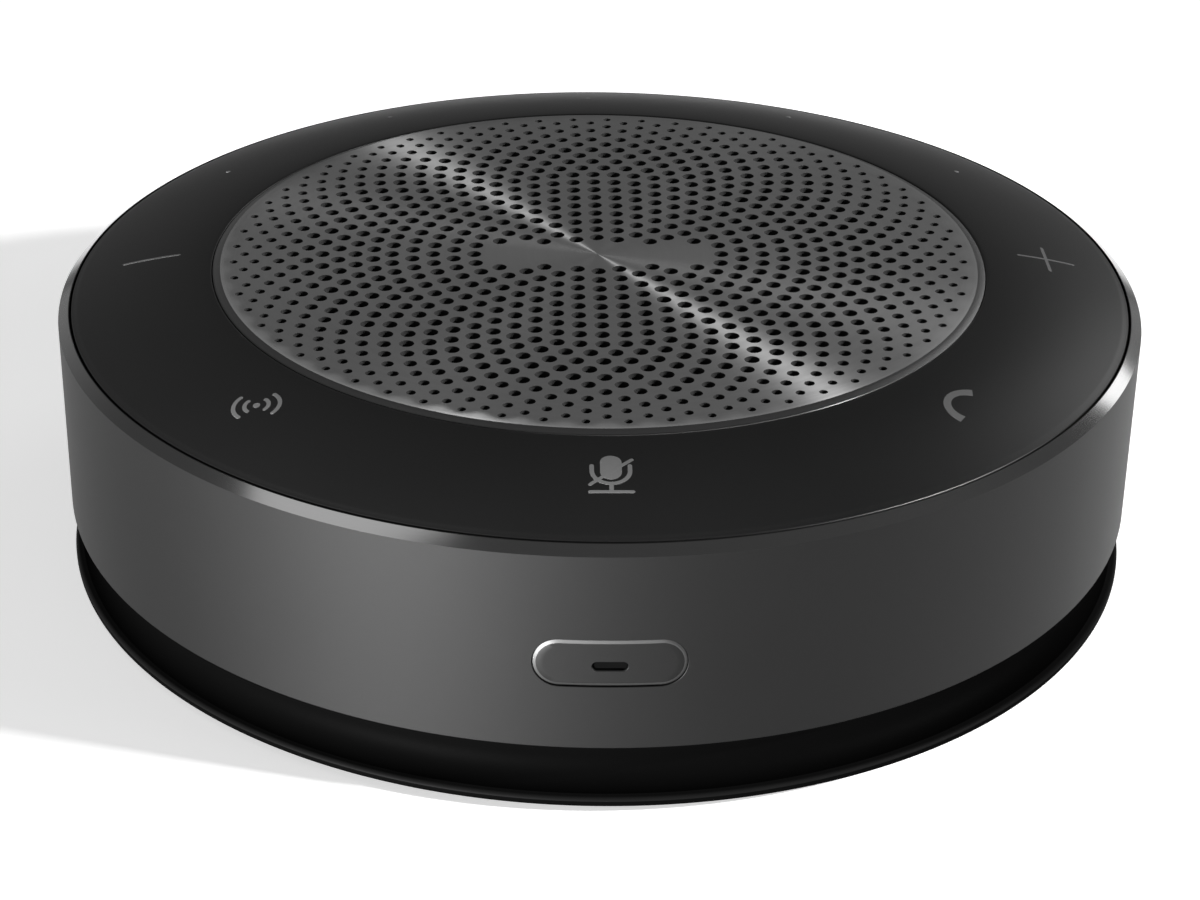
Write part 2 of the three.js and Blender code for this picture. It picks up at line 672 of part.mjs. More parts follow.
// Outside
add("base_shell", baseShell(), "base");
const footOuter = BODY_R - FOOT_INSET;
add("foot_ring", tube(footOuter - FOOT_W, footOuter, 0, baseUnder + FOOT_GROOVE), "rubber");
add("side_band", sideBand(), "band");
add("top_ring", topRing(), "touch");
add("grille_plate", grillePlate(), "grille");
const clothTop = TOTAL_H - GRILLE_T;
add("grille_cloth", cylinder(GRILLE_R - 0.3, clothTop - CLOTH_T, clothTop, OUTER_SIDES), "cloth");
const ledgeR = ringInner - LEDGE_IN;
add("grille_gasket", tube(ledgeR, GRILLE_R - 0.3, ledgeTop, ledgeTop + GRILLE_GASKET_T), "foam");
lightAngles().forEach((angle, i) => add(`light_pipe_${i + 1}`, place(lightPipe(), lightR, angle), "light"));

// Touch electronics under the black ring
add("touch_board", tube(touchInner, touchOuter, midTop, midTop + TOUCH_BOARD_T), "board");
for (let i = 0; i < MIC_COUNT; i++) {
  const capsule = box(MIC, 0, -lightR - 0.5, midTop + TOUCH_BOARD_T);
  add(`microphone_${i + 1}`, turn(capsule, 22.5 + (360 / MIC_COUNT) * i), "steel");
}
add("mid_frame", midFrame(), "black");

// Push button, its light guide and its switch
add("power_button", powerButton(), "band");
const guideFront = -BODY_R + BUTTON_RECESS + 0.4;
const guide = pillBar(SLOT_L - 2 * RUN_GAP, SLOT_H - 2 * RUN_GAP, guideFront, buttonBackY, slotZ);
add("button_light_guide", guide, "light");
const switchBoardLow = buttonZ - SWITCH_BOARD[2] / 2;
const switchBoard = box(SWITCH_BOARD, 0, switchBoardY + SWITCH_BOARD[1] / 2, switchBoardLow);
add("switch_board", switchBoard, "board");
add("switch_body", switchBody(), "chip");
add("switch_plunger", yCylinder(PLUNGER_R, switchFrontY - PLUNGER_OUT, switchFrontY + 0.8), "light");
add("indicator_led", box(LED, 0, switchBoardY - LED[1] / 2, slotZ - LED[2] / 2), "light");

// Loudspeaker
add("driver_gasket", tube(basketR + 0.8, flangeR - 4.8, midTop, driverFlangeZ, INNER_SIDES), "foam");
add("driver_frame", driverFrame(), "black");
add("driver_yoke", yoke(), "steel");
add("driver_magnet", tube(gapOuter + 1.5, MAGNET_R, magnetBottom, plateBottom, INNER_SIDES), "magnet");
add("driver_top_plate", tube(gapOuter, MAGNET_R - 1, plateBottom, plateTop, INNER_SIDES), "steel");
add("voice_coil", voiceCoil(), "copper");
add("spider", spider(), "spider");
add("speaker_cone", cone(), "paper");
add("dust_cap", dustCap(), "paper");
add("surround", surround(), "rubber");
postAngles.forEach((angle, i) => {
  const driverScrew = screw(DRIVER_SCREW, driverFlangeTop, -1);
  add(`driver_screw_${i + 1}`, place(driverScrew, driverScrewPcd, angle), "steel");
});

// Main board and what is on it
add("main_board", mainBoard(), "board");
add("main_chip", box(CHIP, 0, 0, boardTop), "chip");
add("shield_can", shieldCan(), "steel");
for (const [i, side] of [-1, 1].entries()) {
  const can = cylinder(CAPACITOR[0], boardTop, boardTop + CAPACITOR[1], 2 * SMALL_SIDES);
  add(`capacitor_${i + 1}`, can.translate(CAPACITOR_X, side * CAPACITOR_Y, 0), "steel");
}
add("usb_socket", usbSocket(), "steel");
const tongueY = socketMouthY - SOCKET_D + SOCKET_BACK + TONGUE[1] / 2;
add("usb_tongue", box(TONGUE, 0, tongueY, socketZ - TONGUE[2] / 2), "chip");
postAngles.forEach((angle, i) => {
  add(`board_screw_${i + 1}`, place(screw(BOARD_SCREW, boardTop, -1), BOARD_POST_PCD, angle), "steel");
});

// Battery
add("battery_foam", box([BATTERY[0] - 4, BATTERY[1] - 4, BATTERY_FOAM_T], 0, 0, floorTop), "foam");
add("battery_pack", box(BATTERY, 0, 0, batteryBottom), "battery");

// Leads and flat cables, each along its own route
const batteryMid = batteryBottom + BATTERY[2] / 2;
const batteryEdge = BATTERY[0] / 2 + RUN_GAP;
const batteryBend = batteryEdge + 3.6;
const batteryRoute = [[batteryEdge, batteryMid], [batteryBend, batteryMid]];
batteryRoute.push([batteryBend, boardUnder - RUN_GAP]);
add("battery_lead", strip(batteryRoute, ...LEAD, 0), "lead");
const leadTop = midUnder - LEAD_DROP;
const leadR = flangeR + 3.5;
const leadStart = Math.max(basketR, basketLedgeR + BASKET_WALL) + RUN_GAP;
const leadLow = boardTop + LEAD[0] / 2 + RUN_GAP;
const speakerRoute = [[leadStart, leadTop], [leadR, leadTop], [leadR, leadLow], [leadR + 3, leadLow]];
add("speaker_lead", strip(speakerRoute, ...LEAD, 0), "lead");
const ribbonTop = midTop + TOUCH_BOARD_T + LAY_GAP;
const touchRoute = [[touchInner + 2, ribbonTop], [flexR, ribbonTop]];
touchRoute.push([flexR, boardTop + LAY_GAP], [flexR - FLEX_TAB, boardTop + LAY_GAP]);
add("touch_ribbon", strip(touchRoute, FLEX_T, TOUCH_FLEX_W, 180), "flex");
const switchFlexR = -switchBoardY - SWITCH_BOARD[1] / 2;
const bendZ = (switchBoardLow + boardTop) / 2;
const switchFlexIn = boardR - 3.5;
const switchRoute = [[switchFlexR, switchBoardLow - RUN_GAP], [switchFlexR, bendZ]];
switchRoute.push([switchFlexIn, bendZ], [switchFlexIn, boardTop + LAY_GAP]);
switchRoute.push([switchFlexIn - FLEX_TAB, boardTop + LAY_GAP]);
add("switch_ribbon", strip(switchRoute, FLEX_T, SWITCH_FLEX_W, -90), "flex");

// Screws that hold the base to the mid frame
postAngles.forEach((angle, i) => {
  const baseScrew = screw(BASE_SCREW, baseUnder + BASE_SCREW_DEEP, 1);
  add(`base_screw_${i + 1}`, place(baseScrew, postPcd, angle), "steel");
});

export default speakerphone;
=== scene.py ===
import json
import math

import bmesh
import bpy
import numpy as np
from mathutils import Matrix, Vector, geometry


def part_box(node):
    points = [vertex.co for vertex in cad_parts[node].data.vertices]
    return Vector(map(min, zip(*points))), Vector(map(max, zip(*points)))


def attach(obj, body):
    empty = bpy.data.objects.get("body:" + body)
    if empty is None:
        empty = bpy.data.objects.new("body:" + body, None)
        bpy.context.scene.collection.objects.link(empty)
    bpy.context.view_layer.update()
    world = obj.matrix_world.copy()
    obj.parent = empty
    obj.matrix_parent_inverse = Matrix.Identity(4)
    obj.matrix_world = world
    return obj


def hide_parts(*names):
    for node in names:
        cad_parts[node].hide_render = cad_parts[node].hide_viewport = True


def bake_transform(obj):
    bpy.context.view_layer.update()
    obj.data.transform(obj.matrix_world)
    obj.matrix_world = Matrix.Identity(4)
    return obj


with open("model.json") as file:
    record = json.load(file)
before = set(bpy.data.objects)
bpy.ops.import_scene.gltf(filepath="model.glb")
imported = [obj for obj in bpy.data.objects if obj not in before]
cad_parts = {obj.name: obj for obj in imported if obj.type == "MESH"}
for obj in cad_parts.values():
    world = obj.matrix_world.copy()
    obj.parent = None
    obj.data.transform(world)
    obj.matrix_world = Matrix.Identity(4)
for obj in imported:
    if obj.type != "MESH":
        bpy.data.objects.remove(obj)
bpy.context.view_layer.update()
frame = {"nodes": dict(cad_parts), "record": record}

MM = 0.001
TURN = 2 * np.pi

# Sizes taken from the frame
BAND_LOW, BAND_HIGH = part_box("side_band")
BODY_R = BAND_HIGH.x
_, RING_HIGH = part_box("top_ring")
RING_R = RING_HIGH.x
GRILLE_LOW, GRILLE_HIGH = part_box("grille_plate")
GRILLE_R = GRILLE_HIGH.x
BASE_LOW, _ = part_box("base_shell")
_, FOOT_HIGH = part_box("foot_ring")
BUTTON_LOW, BUTTON_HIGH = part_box("power_button")
SOCKET_LOW, SOCKET_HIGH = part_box("usb_socket")
TOP_Z = GRILLE_HIGH.z
RING_IN_R = GRILLE_R + 0.1 * MM
RING_EDGE_Z = BAND_HIGH.z
RING_IN_Z = RING_HIGH.z

# Sizes of the finer shapes
TURNS = 288  # facets round the large pieces
FINE_EASE = 0.08 * MM  # the small easing of a cut metal edge
CHAMFER_H = 0.98 * MM  # height of the bright chamfer on the band
BAND_WALL = 1.6 * MM
DOME_POWER = 1.6
BUTTON_L = 16.3 * MM
BUTTON_H = 5.5 * MM
BUTTON_GAP = 0.12 * MM
BUTTON_RECESS = 0.05 * MM  # how far the button's face sits behind the band's
BUTTON_Z = (BUTTON_LOW.z + BUTTON_HIGH.z) / 2
SLOT_L = 3.8 * MM
SLOT_H = 1.05 * MM
SLOT_DROP = 0.35 * MM  # how far the slot sits below the button's middle
SOCKET_W = SOCKET_HIGH.x - SOCKET_LOW.x
SOCKET_H = SOCKET_HIGH.z - SOCKET_LOW.z
SOCKET_Z = (SOCKET_LOW.z + SOCKET_HIGH.z) / 2
SOCKET_GAP = 0.3 * MM
MARK_R = 54.4 * MM  # circle on which the touch marks sit
SIDE_MARK_RISE = 1.3  # millimetres by which the plus and the minus sit back from the middle
INK = 0.02 * MM  # how far a printed mark reaches below the cover
INK_LIFT = 0.012 * MM  # how far its first stroke stands above the cover
INK_STEP = 0.002 * MM  # and each further stroke above the one before
ROUND_END = 5  # points in the round end of a stroke
STROKE_ACROSS = 5  # points across a stroke
HORIZON_GLOW = 0.25
ZENITH_GLOW = 0.07
WELD = 1e-7  # points nearer than this are one point, in metres


# ---- camera, stage and lights
def camera():
    """A long lens from the front, about 28 degrees down, its frame slid sideways as a shift lens does."""
    pitch, roll, yaw = 90 - 28.05, 0.15, 0.32
    data = bpy.data.cameras.new("camera")
    data.sensor_width = 36
    data.lens = 87.4
    data.shift_x = 0.0824
    data.clip_start = 0.01
    obj = bpy.data.objects.new("camera", data)
    bpy.context.scene.collection.objects.link(obj)
    obj.location = (-9.53 * MM, -323.5 * MM, TOP_Z + 145.4 * MM)
    obj.rotation_euler = (math.radians(pitch), math.radians(roll), math.radians(yaw))
    bpy.context.scene.camera = obj


def softbox(name, azimuth, elevation, distance, size, radiance):
    """A soft light aimed at the grille's middle.

    Azimuth is its compass angle (0 = +X, 90 = +Y) and elevation its height angle, both in degrees."""
    turn, rise = math.radians(azimuth), math.radians(elevation)
    towards = Vector((math.cos(turn) * math.cos(rise), math.sin(turn) * math.cos(rise), math.sin(rise)))
    data = bpy.data.lights.new(name, "AREA")
    data.shape = "RECTANGLE"
    data.size, data.size_y = size
    data.energy = radiance * math.pi * size[0] * size[1]
    obj = bpy.data.objects.new(name, data)
    bpy.context.scene.collection.objects.link(obj)
    obj.location = Vector((0, 0, TOP_Z)) + towards * distance
    obj.rotation_euler = towards.to_track_quat("Z", "Y").to_euler()
    obj.visible_camera = False


def room():
    """A dim room: pale near the horizon, with a smooth step to a darker sky overhead."""
    world = bpy.data.worlds.new("studio")
    bpy.context.scene.world = world
    world.use_nodes = True
    tree = world.node_tree
    place = tree.nodes.new("ShaderNodeTexCoord")
    split = tree.nodes.new("ShaderNodeSeparateXYZ")
    ramp = tree.nodes.new("ShaderNodeMapRange")
    ramp.interpolation_type = "SMOOTHSTEP"
    settings = {"From Min": 0.0, "From Max": 0.55, "To Min": HORIZON_GLOW, "To Max": ZENITH_GLOW}
    for label, value in settings.items():
        ramp.inputs[label].default_value = value
    tree.links.new(place.outputs["Generated"], split.inputs[0])
    tree.links.new(split.outputs["Z"], ramp.inputs["Value"])
    tree.links.new(ramp.outputs["Result"], tree.nodes["Background"].inputs["Strength"])
    tree.nodes["Background"].inputs["Color"].default_value = (1, 1, 1, 1)


def stage():
    """The room, the floor and five lights.

    The small bright one makes the streak across the grille, the low one in front the gleam on the
    chamfer, and the three large ones lift the band and the ring."""
    bpy.context.scene.view_settings.view_transform = "Standard"
    room()
    half = 4.0
    mesh = bpy.data.meshes.new("floor")
    corners = [(-half, -half, 0), (half, -half, 0), (half, half, 0), (-half, half, 0)]
    mesh.from_pydata(corners, [], [(0, 1, 2, 3)])
    floor = bpy.data.objects.new("floor", mesh)
    bpy.context.scene.collection.objects.link(floor)
    floor.data.materials.append(glowing_floor())
    # name, azimuth, elevation, distance, width and height, radiance
    softbox("streak_light", -19, 25, 0.9, (0.05, 0.05), 1450)
    softbox("main_light", -17, 30, 1.3, (0.6, 0.5), 1.6)
    softbox("right_light", 46, 26, 0.9, (0.34, 0.38), 1.9)
    softbox("upper_left_light", 176, 61, 0.9, (0.4, 0.4), 0.66)
    softbox("front_left_light", -127, -1.2, 0.9, (0.3, 0.03), 1800)


# ---- shader maths
class Socket:
    """An output socket of a material's tree: arithmetic on it adds Math nodes."""

    def __init__(self, finish, output):
        self.finish = finish
        self.output = output

    def _math(self, operation, *others):
        return self.finish.node("ShaderNodeMath", {"operation": operation}, self, *others)

    def __add__(self, other):
        return self._math("ADD", other)

    def __mul__(self, other):
        return self._math("MULTIPLY", other)

    def __pow__(self, other):
        return self._math("POWER", other)

    def sine(self):
        return self._math("SINE")

    __radd__ = __add__
    __rmul__ = __mul__

    def above(self, low, high):
        """0 below low, 1 above high, with a smooth step between."""
        settings = {"interpolation_type": "SMOOTHSTEP", "clamp": True}
        return self.finish.node("ShaderNodeMapRange", settings, self, low, high, 0.0, 1.0)


class Finish:
    """A material with one Principled shader, built from Python expressions."""

    def __init__(self, name, **constants):
        self.material = bpy.data.materials.new(name)
        self.material.use_nodes = True
        self.tree = self.material.node_tree
        self.shader = self.tree.nodes["Principled BSDF"]
        for label, value in constants.items():
            self.shader.inputs[label.replace("_", " ")].default_value = value

    def node(self, kind, settings, *values, out=0, **named):
        """A node of a type: its settings first, then values or links for its sockets, by place or by name."""
        made = self.tree.nodes.new(kind)
        for key, value in settings.items():
            setattr(made, key, value)
        for key, value in [*enumerate(values), *named.items()]:
            socket = made.inputs[key.replace("_", " ") if isinstance(key, str) else key]
            if isinstance(value, Socket):
                self.tree.links.new(value.output, socket)
            else:
                socket.default_value = value
        return Socket(self, made.outputs[out])

    def place(self):
        return self.node("ShaderNodeTexCoord", {}, out="Object")

    def axes(self):
        """The x, y and z of the object's own coordinates, as three sockets."""
        split = self.tree.nodes.new("ShaderNodeSeparateXYZ")
        self.tree.links.new(self.place().output, split.inputs[0])
        return [Socket(self, output) for output in split.outputs]

    def radius(self):
        """The distance from the Z axis."""
        x, y, _ = self.axes()
        return (x * x + y * y) ** 0.5

    def noise(self, vector, scale, detail=2.0, rough=0.5):
        inputs = {"Vector": vector, "Scale": scale, "Detail": detail, "Roughness": rough}
        return self.node("ShaderNodeTexNoise", {}, **inputs)

    def noise_along(self, value):
        """Noise that varies with one number only."""
        return self.node("ShaderNodeTexNoise", {"noise_dimensions": "1D"}, W=value, Scale=1.0, Detail=2.0)

    def blend_colour(self, factor, first, second):
        """The first colour where the factor is 0, the second where it is 1."""
        mixed = self.tree.nodes.new("ShaderNodeMix")
        mixed.data_type = "RGBA"
        for index, value in ((0, factor), (6, first), (7, second)):
            if isinstance(value, Socket):
                self.tree.links.new(value.output, mixed.inputs[index])
            else:
                mixed.inputs[index].default_value = value
        return Socket(self, mixed.outputs[2])

    def feed(self, **links):
        """Link values to the shader's sockets, named with _ for a space."""
        for label, value in links.items():
            self.tree.links.new(value.output, self.shader.inputs[label.replace("_", " ")])
        return self

    def bump(self, height, distance):
        """Relief of a height field; distance is the height in metres that the value 1 stands for."""
        relief = self.node("ShaderNodeBump", {}, Strength=1.0, Distance=distance, Height=height)
        return self.feed(Normal=relief)


def grey(value):
    return (value, value, value, 1)


def glowing_floor():
    """A white sheet under the object that glows near it: painted light, an emitted pool that washes out the
    cast shadows. Its colour and its glow darken away from it, from 0.25 m out to 0.5 m.
    """
    look = Finish("glowing_floor", Roughness=0.6, Emission_Strength=0.5)
    cloud = look.noise(look.place(), 3.0)
    far = look.radius().above(0.25, 0.5)
    white = look.blend_colour(cloud, grey(0.90), grey(0.93))
    look.feed(Base_Color=look.blend_colour(far, white, grey(0.3)))
    # Painted light: the floor glows white near the object, and the glow fades to nothing from 0.25 m to 0.5 m
    # out.
    look.feed(Emission_Color=look.blend_colour(far, grey(1.0), grey(0.0)))
    return look.material


def spun_metal():
    """Gunmetal turned on a lathe: fine rings round the middle stretch the highlight across them."""
    look = Finish("spun_metal", Metallic=0.5, Anisotropic=1.0, Anisotropic_Rotation=0.25)
    r = look.radius()
    fine = look.noise_along(r * 9000.0)
    broad = look.noise_along(r * 900.0)
    mottled = look.noise(look.place(), 60.0)
    tone = fine * 0.35 + broad * 0.4 + mottled * 0.25
    look.feed(Base_Color=look.blend_colour(tone, grey(0.17), grey(0.23)))
    look.feed(Roughness=0.34 + fine * 0.05 + broad * 0.03)
    look.bump(fine, 0.004 * MM)
    return look.material


def grained_metal(name, dark, light, rough):
    """Bead-blasted and anodised: a fine even grain with slow cloudy changes of tone."""
    look = Finish(name, Metallic=1.0)
    grain = look.noise(look.place(), 9000.0, 3.0, 0.6)
    cloud = look.noise(look.place(), 35.0)
    look.feed(Base_Color=look.blend_colour(cloud * 0.6 + grain * 0.4, grey(dark), grey(light)))
    look.feed(Roughness=rough + grain * 0.06 + cloud * 0.03)
    look.bump(grain, 0.006 * MM)
    return look.material


def turned_edge():
    """The bright chamfer, cut with a fine tool: rings so fine that they only soften the gloss."""
    look = Finish("turned_edge", Metallic=1.0)
    _, _, z = look.axes()
    rings = look.noise_along(z * 40000.0)
    look.feed(Base_Color=look.blend_colour(rings, grey(0.42), grey(0.55)))
    look.feed(Roughness=0.11 + rings * 0.04)
    return look.material


def satin_black(name, tone, rough, grain_scale, height, gloss, ior=1.5):
    """Moulded black plastic with an even fine texture."""
    look = Finish(name, Specular_IOR_Level=gloss, IOR=ior)
    grain = look.noise(look.place(), grain_scale, 3.0, 0.55)
    cloud = look.noise(look.place(), 40.0)
    look.feed(Base_Color=look.blend_colour(cloud, grey(tone * 0.85), grey(tone * 1.15)))
    look.feed(Roughness=rough + grain * 0.08 + cloud * 0.04)
    look.bump(grain, height)
    return look.material


def ink(name, tone):
    """Matt printing ink with a fine grain."""
    look = Finish(name)
    grain = look.noise(look.place(), 4000.0)
    look.feed(Base_Color=look.blend_colour(grain, grey(tone * 0.92), grey(tone * 1.05)))
    look.feed(Roughness=0.5 + grain * 0.1)
    return look.material


# ---- mesh helpers
def grid_faces(rows, cols, wrap_rows=False, wrap_cols=False):
    """The quads of a grid of rows by cols points, joined round where it wraps."""
    i = np.arange(rows if wrap_rows else rows - 1)[:, None]
    j = np.arange(cols if wrap_cols else cols - 1)[None, :]
    up = (i + 1) % rows
    over = (j + 1) % cols
    corners = [i * cols + j, i * cols + over, up * cols + over, up * cols + j]
    return np.stack([np.broadcast_to(c, (i.size, j.size)) for c in corners], -1).reshape(-1, 4)


def surface(name, parts, sharp):
    """One mesh object from (points, faces, material index) parts: welded where they meet, facing out.

    Edges that turn by more than the angle sharp, in degrees, stay sharp."""
    points, faces, slots = [], [], []
    count = 0
    for xyz, quads, slot in parts:
        points.append(np.asarray(xyz, float).reshape(-1, 3))
        faces += (np.asarray(quads) + count).tolist()
        slots.append(np.full(len(quads), slot))
        count += len(points[-1])
    mesh = bpy.data.meshes.new(name)
    mesh.from_pydata(np.vstack(points).tolist(), [], faces)
    mesh.polygons.foreach_set("material_index", np.concatenate(slots).astype(np.int32))
    shape = bmesh.new()
    shape.from_mesh(mesh)
    bmesh.ops.remove_doubles(shape, verts=shape.verts, dist=WELD)
    bmesh.ops.dissolve_degenerate(shape, dist=WELD / 10, edges=shape.edges)
    bmesh.ops.recalc_face_normals(shape, faces=shape.faces)
    shape.to_mesh(mesh)
    shape.free()
    mesh.shade_smooth()
    mesh.set_sharp_from_angle(angle=math.radians(sharp))
    obj = bpy.data.objects.new(name, mesh)
    bpy.context.scene.collection.objects.link(obj)
    return obj


def rounded(corners, steps=5):
    """A closed outline through corners (r, z, radius), each corner a circular arc of its radius.

    The arc's centre lies on the bisector, at radius / sin(half the corner's angle) from the corner, and the
    arc meets each side at radius / tan(half the angle)."""
    points = np.array([corner[:2] for corner in corners], float)
    before = np.roll(points, 1, 0) - points
    after = np.roll(points, -1, 0) - points
    outline = []
    for p, u, v, (_, _, radius) in zip(points, before, after, corners):
        if radius == 0:
            outline.append(p[None])
            continue
        u, v = u / np.linalg.norm(u), v / np.linalg.norm(v)
        half = np.arccos(np.clip(u @ v, -1, 1)) / 2
        centre = p + (u + v) / np.linalg.norm(u + v) * radius / np.sin(half)
        start = p + u * radius / np.tan(half) - centre
        end = p + v * radius / np.tan(half) - centre
        first = np.arctan2(start[1], start[0])
        sweep = (np.arctan2(end[1], end[0]) - first + np.pi) % TURN - np.pi
        angle = first + sweep * np.linspace(0, 1, steps + 1)
        outline.append(centre + radius * np.stack([np.cos(angle), np.sin(angle)], 1))
    return np.vstack(outline)


def circle(count):
    """Evenly spaced points on a circle of radius 1."""
    angle = np.arange(count) * TURN / count
    return np.stack([np.cos(angle), np.sin(angle)], 1)


def turned(outline, turns=TURNS, wrap=True):
    """Surface of revolution: the (r, z) outline carried round the Z axis."""
    angle = np.arange(turns) * TURN / turns
    r, z = np.asarray(outline, float).T
    height = np.broadcast_to(z[:, None], (len(z), turns))
    xyz = np.stack([np.outer(r, np.cos(angle)), np.outer(r, np.sin(angle)), height], -1)
    return xyz, grid_faces(len(r), turns, wrap, True), 0


def capped(xyz):
    """A tube through rows of points, closed by a flat face over its first row and its last."""
    rows, count = xyz.shape[:2]
    lids = [(xyz[k], np.array([np.arange(count)]), 0) for k in (0, -1)]
    return [(xyz, grid_faces(rows, count, False, True), 0)] + lids


def pill(length, height, count):
    """A pill outline, counter-clockwise from the middle of its right end, even in arc length.

    A point's walk along the outline says whether it is on the right half circle, the top line, the left
    half circle or the bottom line; on a half circle, walk / r is its angle."""
    r = height / 2
    half = length / 2 - r
    arc = np.pi * r
    walk = (np.arange(count) / count) * (2 * arc + 4 * half) + arc / 2
    walk = walk % (2 * arc + 4 * half)
    right = walk < arc
    top = (walk >= arc) & (walk < arc + 2 * half)
    left = (walk >= arc + 2 * half) & (walk < 2 * arc + 2 * half)
    a_right = walk / r - np.pi / 2
    a_left = (walk - arc - 2 * half) / r + np.pi / 2
    u = np.select(
        [right, top, left],
        [half + r * np.cos(a_right), half - (walk - arc), -half + r * np.cos(a_left)],
        -half + (walk - 2 * arc - 2 * half),
    )
    v = np.select([right, top, left], [r * np.sin(a_right), r, r * np.sin(a_left)], -r)
    return u, v


def pill_rows(rows, count):
    """Stacked pill outlines facing -Y.

    Each row is (length, height, depth as a function of x) and maybe a drop below the middle."""
    xyz = []
    for length, height, depth, *drop in rows:
        u, v = pill(length, height, count)
        xyz.append(np.stack([u, depth(u), v - sum(drop)], -1))
    return np.array(xyz)


def flat(y):
    """The depth of a flat row."""
    return lambda x: np.full_like(x, y)


def piece(name, parts, sharp, slot, materials, *replaced, body="housing"):
    """A surface with its looks, its body and the nodes that it stands for; the slot is not used."""
    obj = surface(name, parts, sharp)
    for material in materials:
        obj.data.materials.append(material)
    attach(obj, body)
    if replaced:
        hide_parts(*replaced)


# ---- touch ring
def dome(r):
    """Height of the touch ring over a radius: it falls from the inner edge with a power of the way out."""
    share = np.clip((r - RING_IN_R) / (RING_R - RING_IN_R), 0, 1)
    return RING_IN_Z - (RING_IN_Z - RING_EDGE_Z) * share**DOME_POWER


def touch_ring(materials):
    """The domed cover: outer curve, rounded rims, an inner curve below it and the ledge under the grille."""
    rim = RING_R - 0.12 * MM
    edge = 0.22 * MM  # radius of both rims
    wall = 1.6 * MM
    ledge_w = 3.4 * MM
    ledge_drop = 0.9 * MM
    r = np.linspace(RING_IN_R + edge, rim - edge, 48)
    outer = np.stack([r, dome(r)], 1)[::-1]
    angle = np.linspace(0, np.pi / 2, 6)
    fall = edge * (1 - np.cos(angle))
    outer_rim = np.stack([rim - edge + edge * np.sin(angle), dome(rim) - fall], 1)[::-1]
    inner_rim = np.stack([RING_IN_R + edge - edge * np.sin(angle), RING_IN_Z - fall], 1)
    under = np.linspace(RING_IN_R + wall, rim - wall, 10)
    ledge_r = RING_IN_R - ledge_w
    ledge_z = GRILLE_LOW.z - ledge_drop
    ledge = [[RING_IN_R, ledge_z], [ledge_r, ledge_z]]
    ledge += [[ledge_r, ledge_z - wall], [RING_IN_R + wall, ledge_z - wall]]
    outline = np.vstack(
        [
            [[rim, dome(rim) - wall]],
            outer_rim,
            outer[1:-1],
            inner_rim,
            ledge,
            np.stack([under, dome(under) - wall], 1),
        ]
    )
    piece("touch_ring", [turned(outline)], 40, "touch_black", materials, "top_ring")


def stroke(path, width, lift, blunt=False):
    """A printed line: a ribbon along the path, of one width or one for each point, draped over the dome.

    A round end is half a circle: it reaches out by the cosine of an angle and is as wide as its sine."""
    path = np.asarray(path, float)
    width = np.broadcast_to(width, len(path))
    along = np.gradient(path, axis=0)
    along /= np.linalg.norm(along, axis=1)[:, None]
    if not blunt:
        cap = np.linspace(0, np.pi / 2, ROUND_END + 1)[:-1]
        out = np.cos(cap)[:, None] / 2
        first = path[0] - along[0] * width[0] * out
        last = path[-1] + along[-1] * width[-1] * out[::-1]
        path = np.vstack([first, path, last])
        along = np.vstack([np.repeat(along[:1], ROUND_END, 0), along, np.repeat(along[-1:], ROUND_END, 0)])
        narrow = np.maximum(np.sin(cap), 0.05)
        width = np.concatenate([width[0] * narrow, width, width[-1] * narrow[::-1]])
    side = np.stack([-along[:, 1], along[:, 0]], 1) * width[:, None] / 2
    across = np.linspace(-1, 1, STROKE_ACROSS)
    return draped(path[:, None] + side[:, None] * across[None, :, None], lift)


def draped(plan, lift):
    """A closed thin layer over the dome from a grid of (x, y) points: its top, its edge and its underside."""
    r = np.linalg.norm(plan, axis=-1)
    top = np.dstack([plan, dome(r) + lift])
    under = np.dstack([plan, dome(r) - INK])
    rows, cols = plan.shape[:2]
    both = np.concatenate([top, under[:, ::-1]], 1)
    quads = grid_faces(rows, 2 * cols, False, True)
    ends = [both[0].reshape(2, cols, 3), both[-1].reshape(2, cols, 3)]
    ends = [np.stack([e[0], e[1][::-1]]) for e in ends]
    return [(both, quads, 0), (ends[0], grid_faces(2, cols), 0), (ends[1], grid_faces(2, cols), 0)]


def arc(centre, radius, start, end, steps=24):
    """Points on a circle from one angle to another, in degrees."""
    angle = np.radians(np.linspace(start, end, steps))
    return np.stack([centre[0] + radius * np.cos(angle), centre[1] + radius * np.sin(angle)], 1)


def line(start, end, steps=12):
    return np.linspace(start, end, steps)


def mark(name, degrees, strokes, material):
    """A touch mark at an angle on the circle of marks: (path, width) strokes in millimetres."""
    centre = MARK_R * np.array([math.cos(math.radians(degrees)), math.sin(math.radians(degrees))])
    parts = []
    for order, (path, width, *blunt) in enumerate(strokes):
        lift = INK_LIFT + order * INK_STEP
        parts += stroke(np.asarray(path) * MM + centre, np.asarray(width) * MM, lift, bool(blunt))
    piece(name, parts, 60, "light_guide", [material])


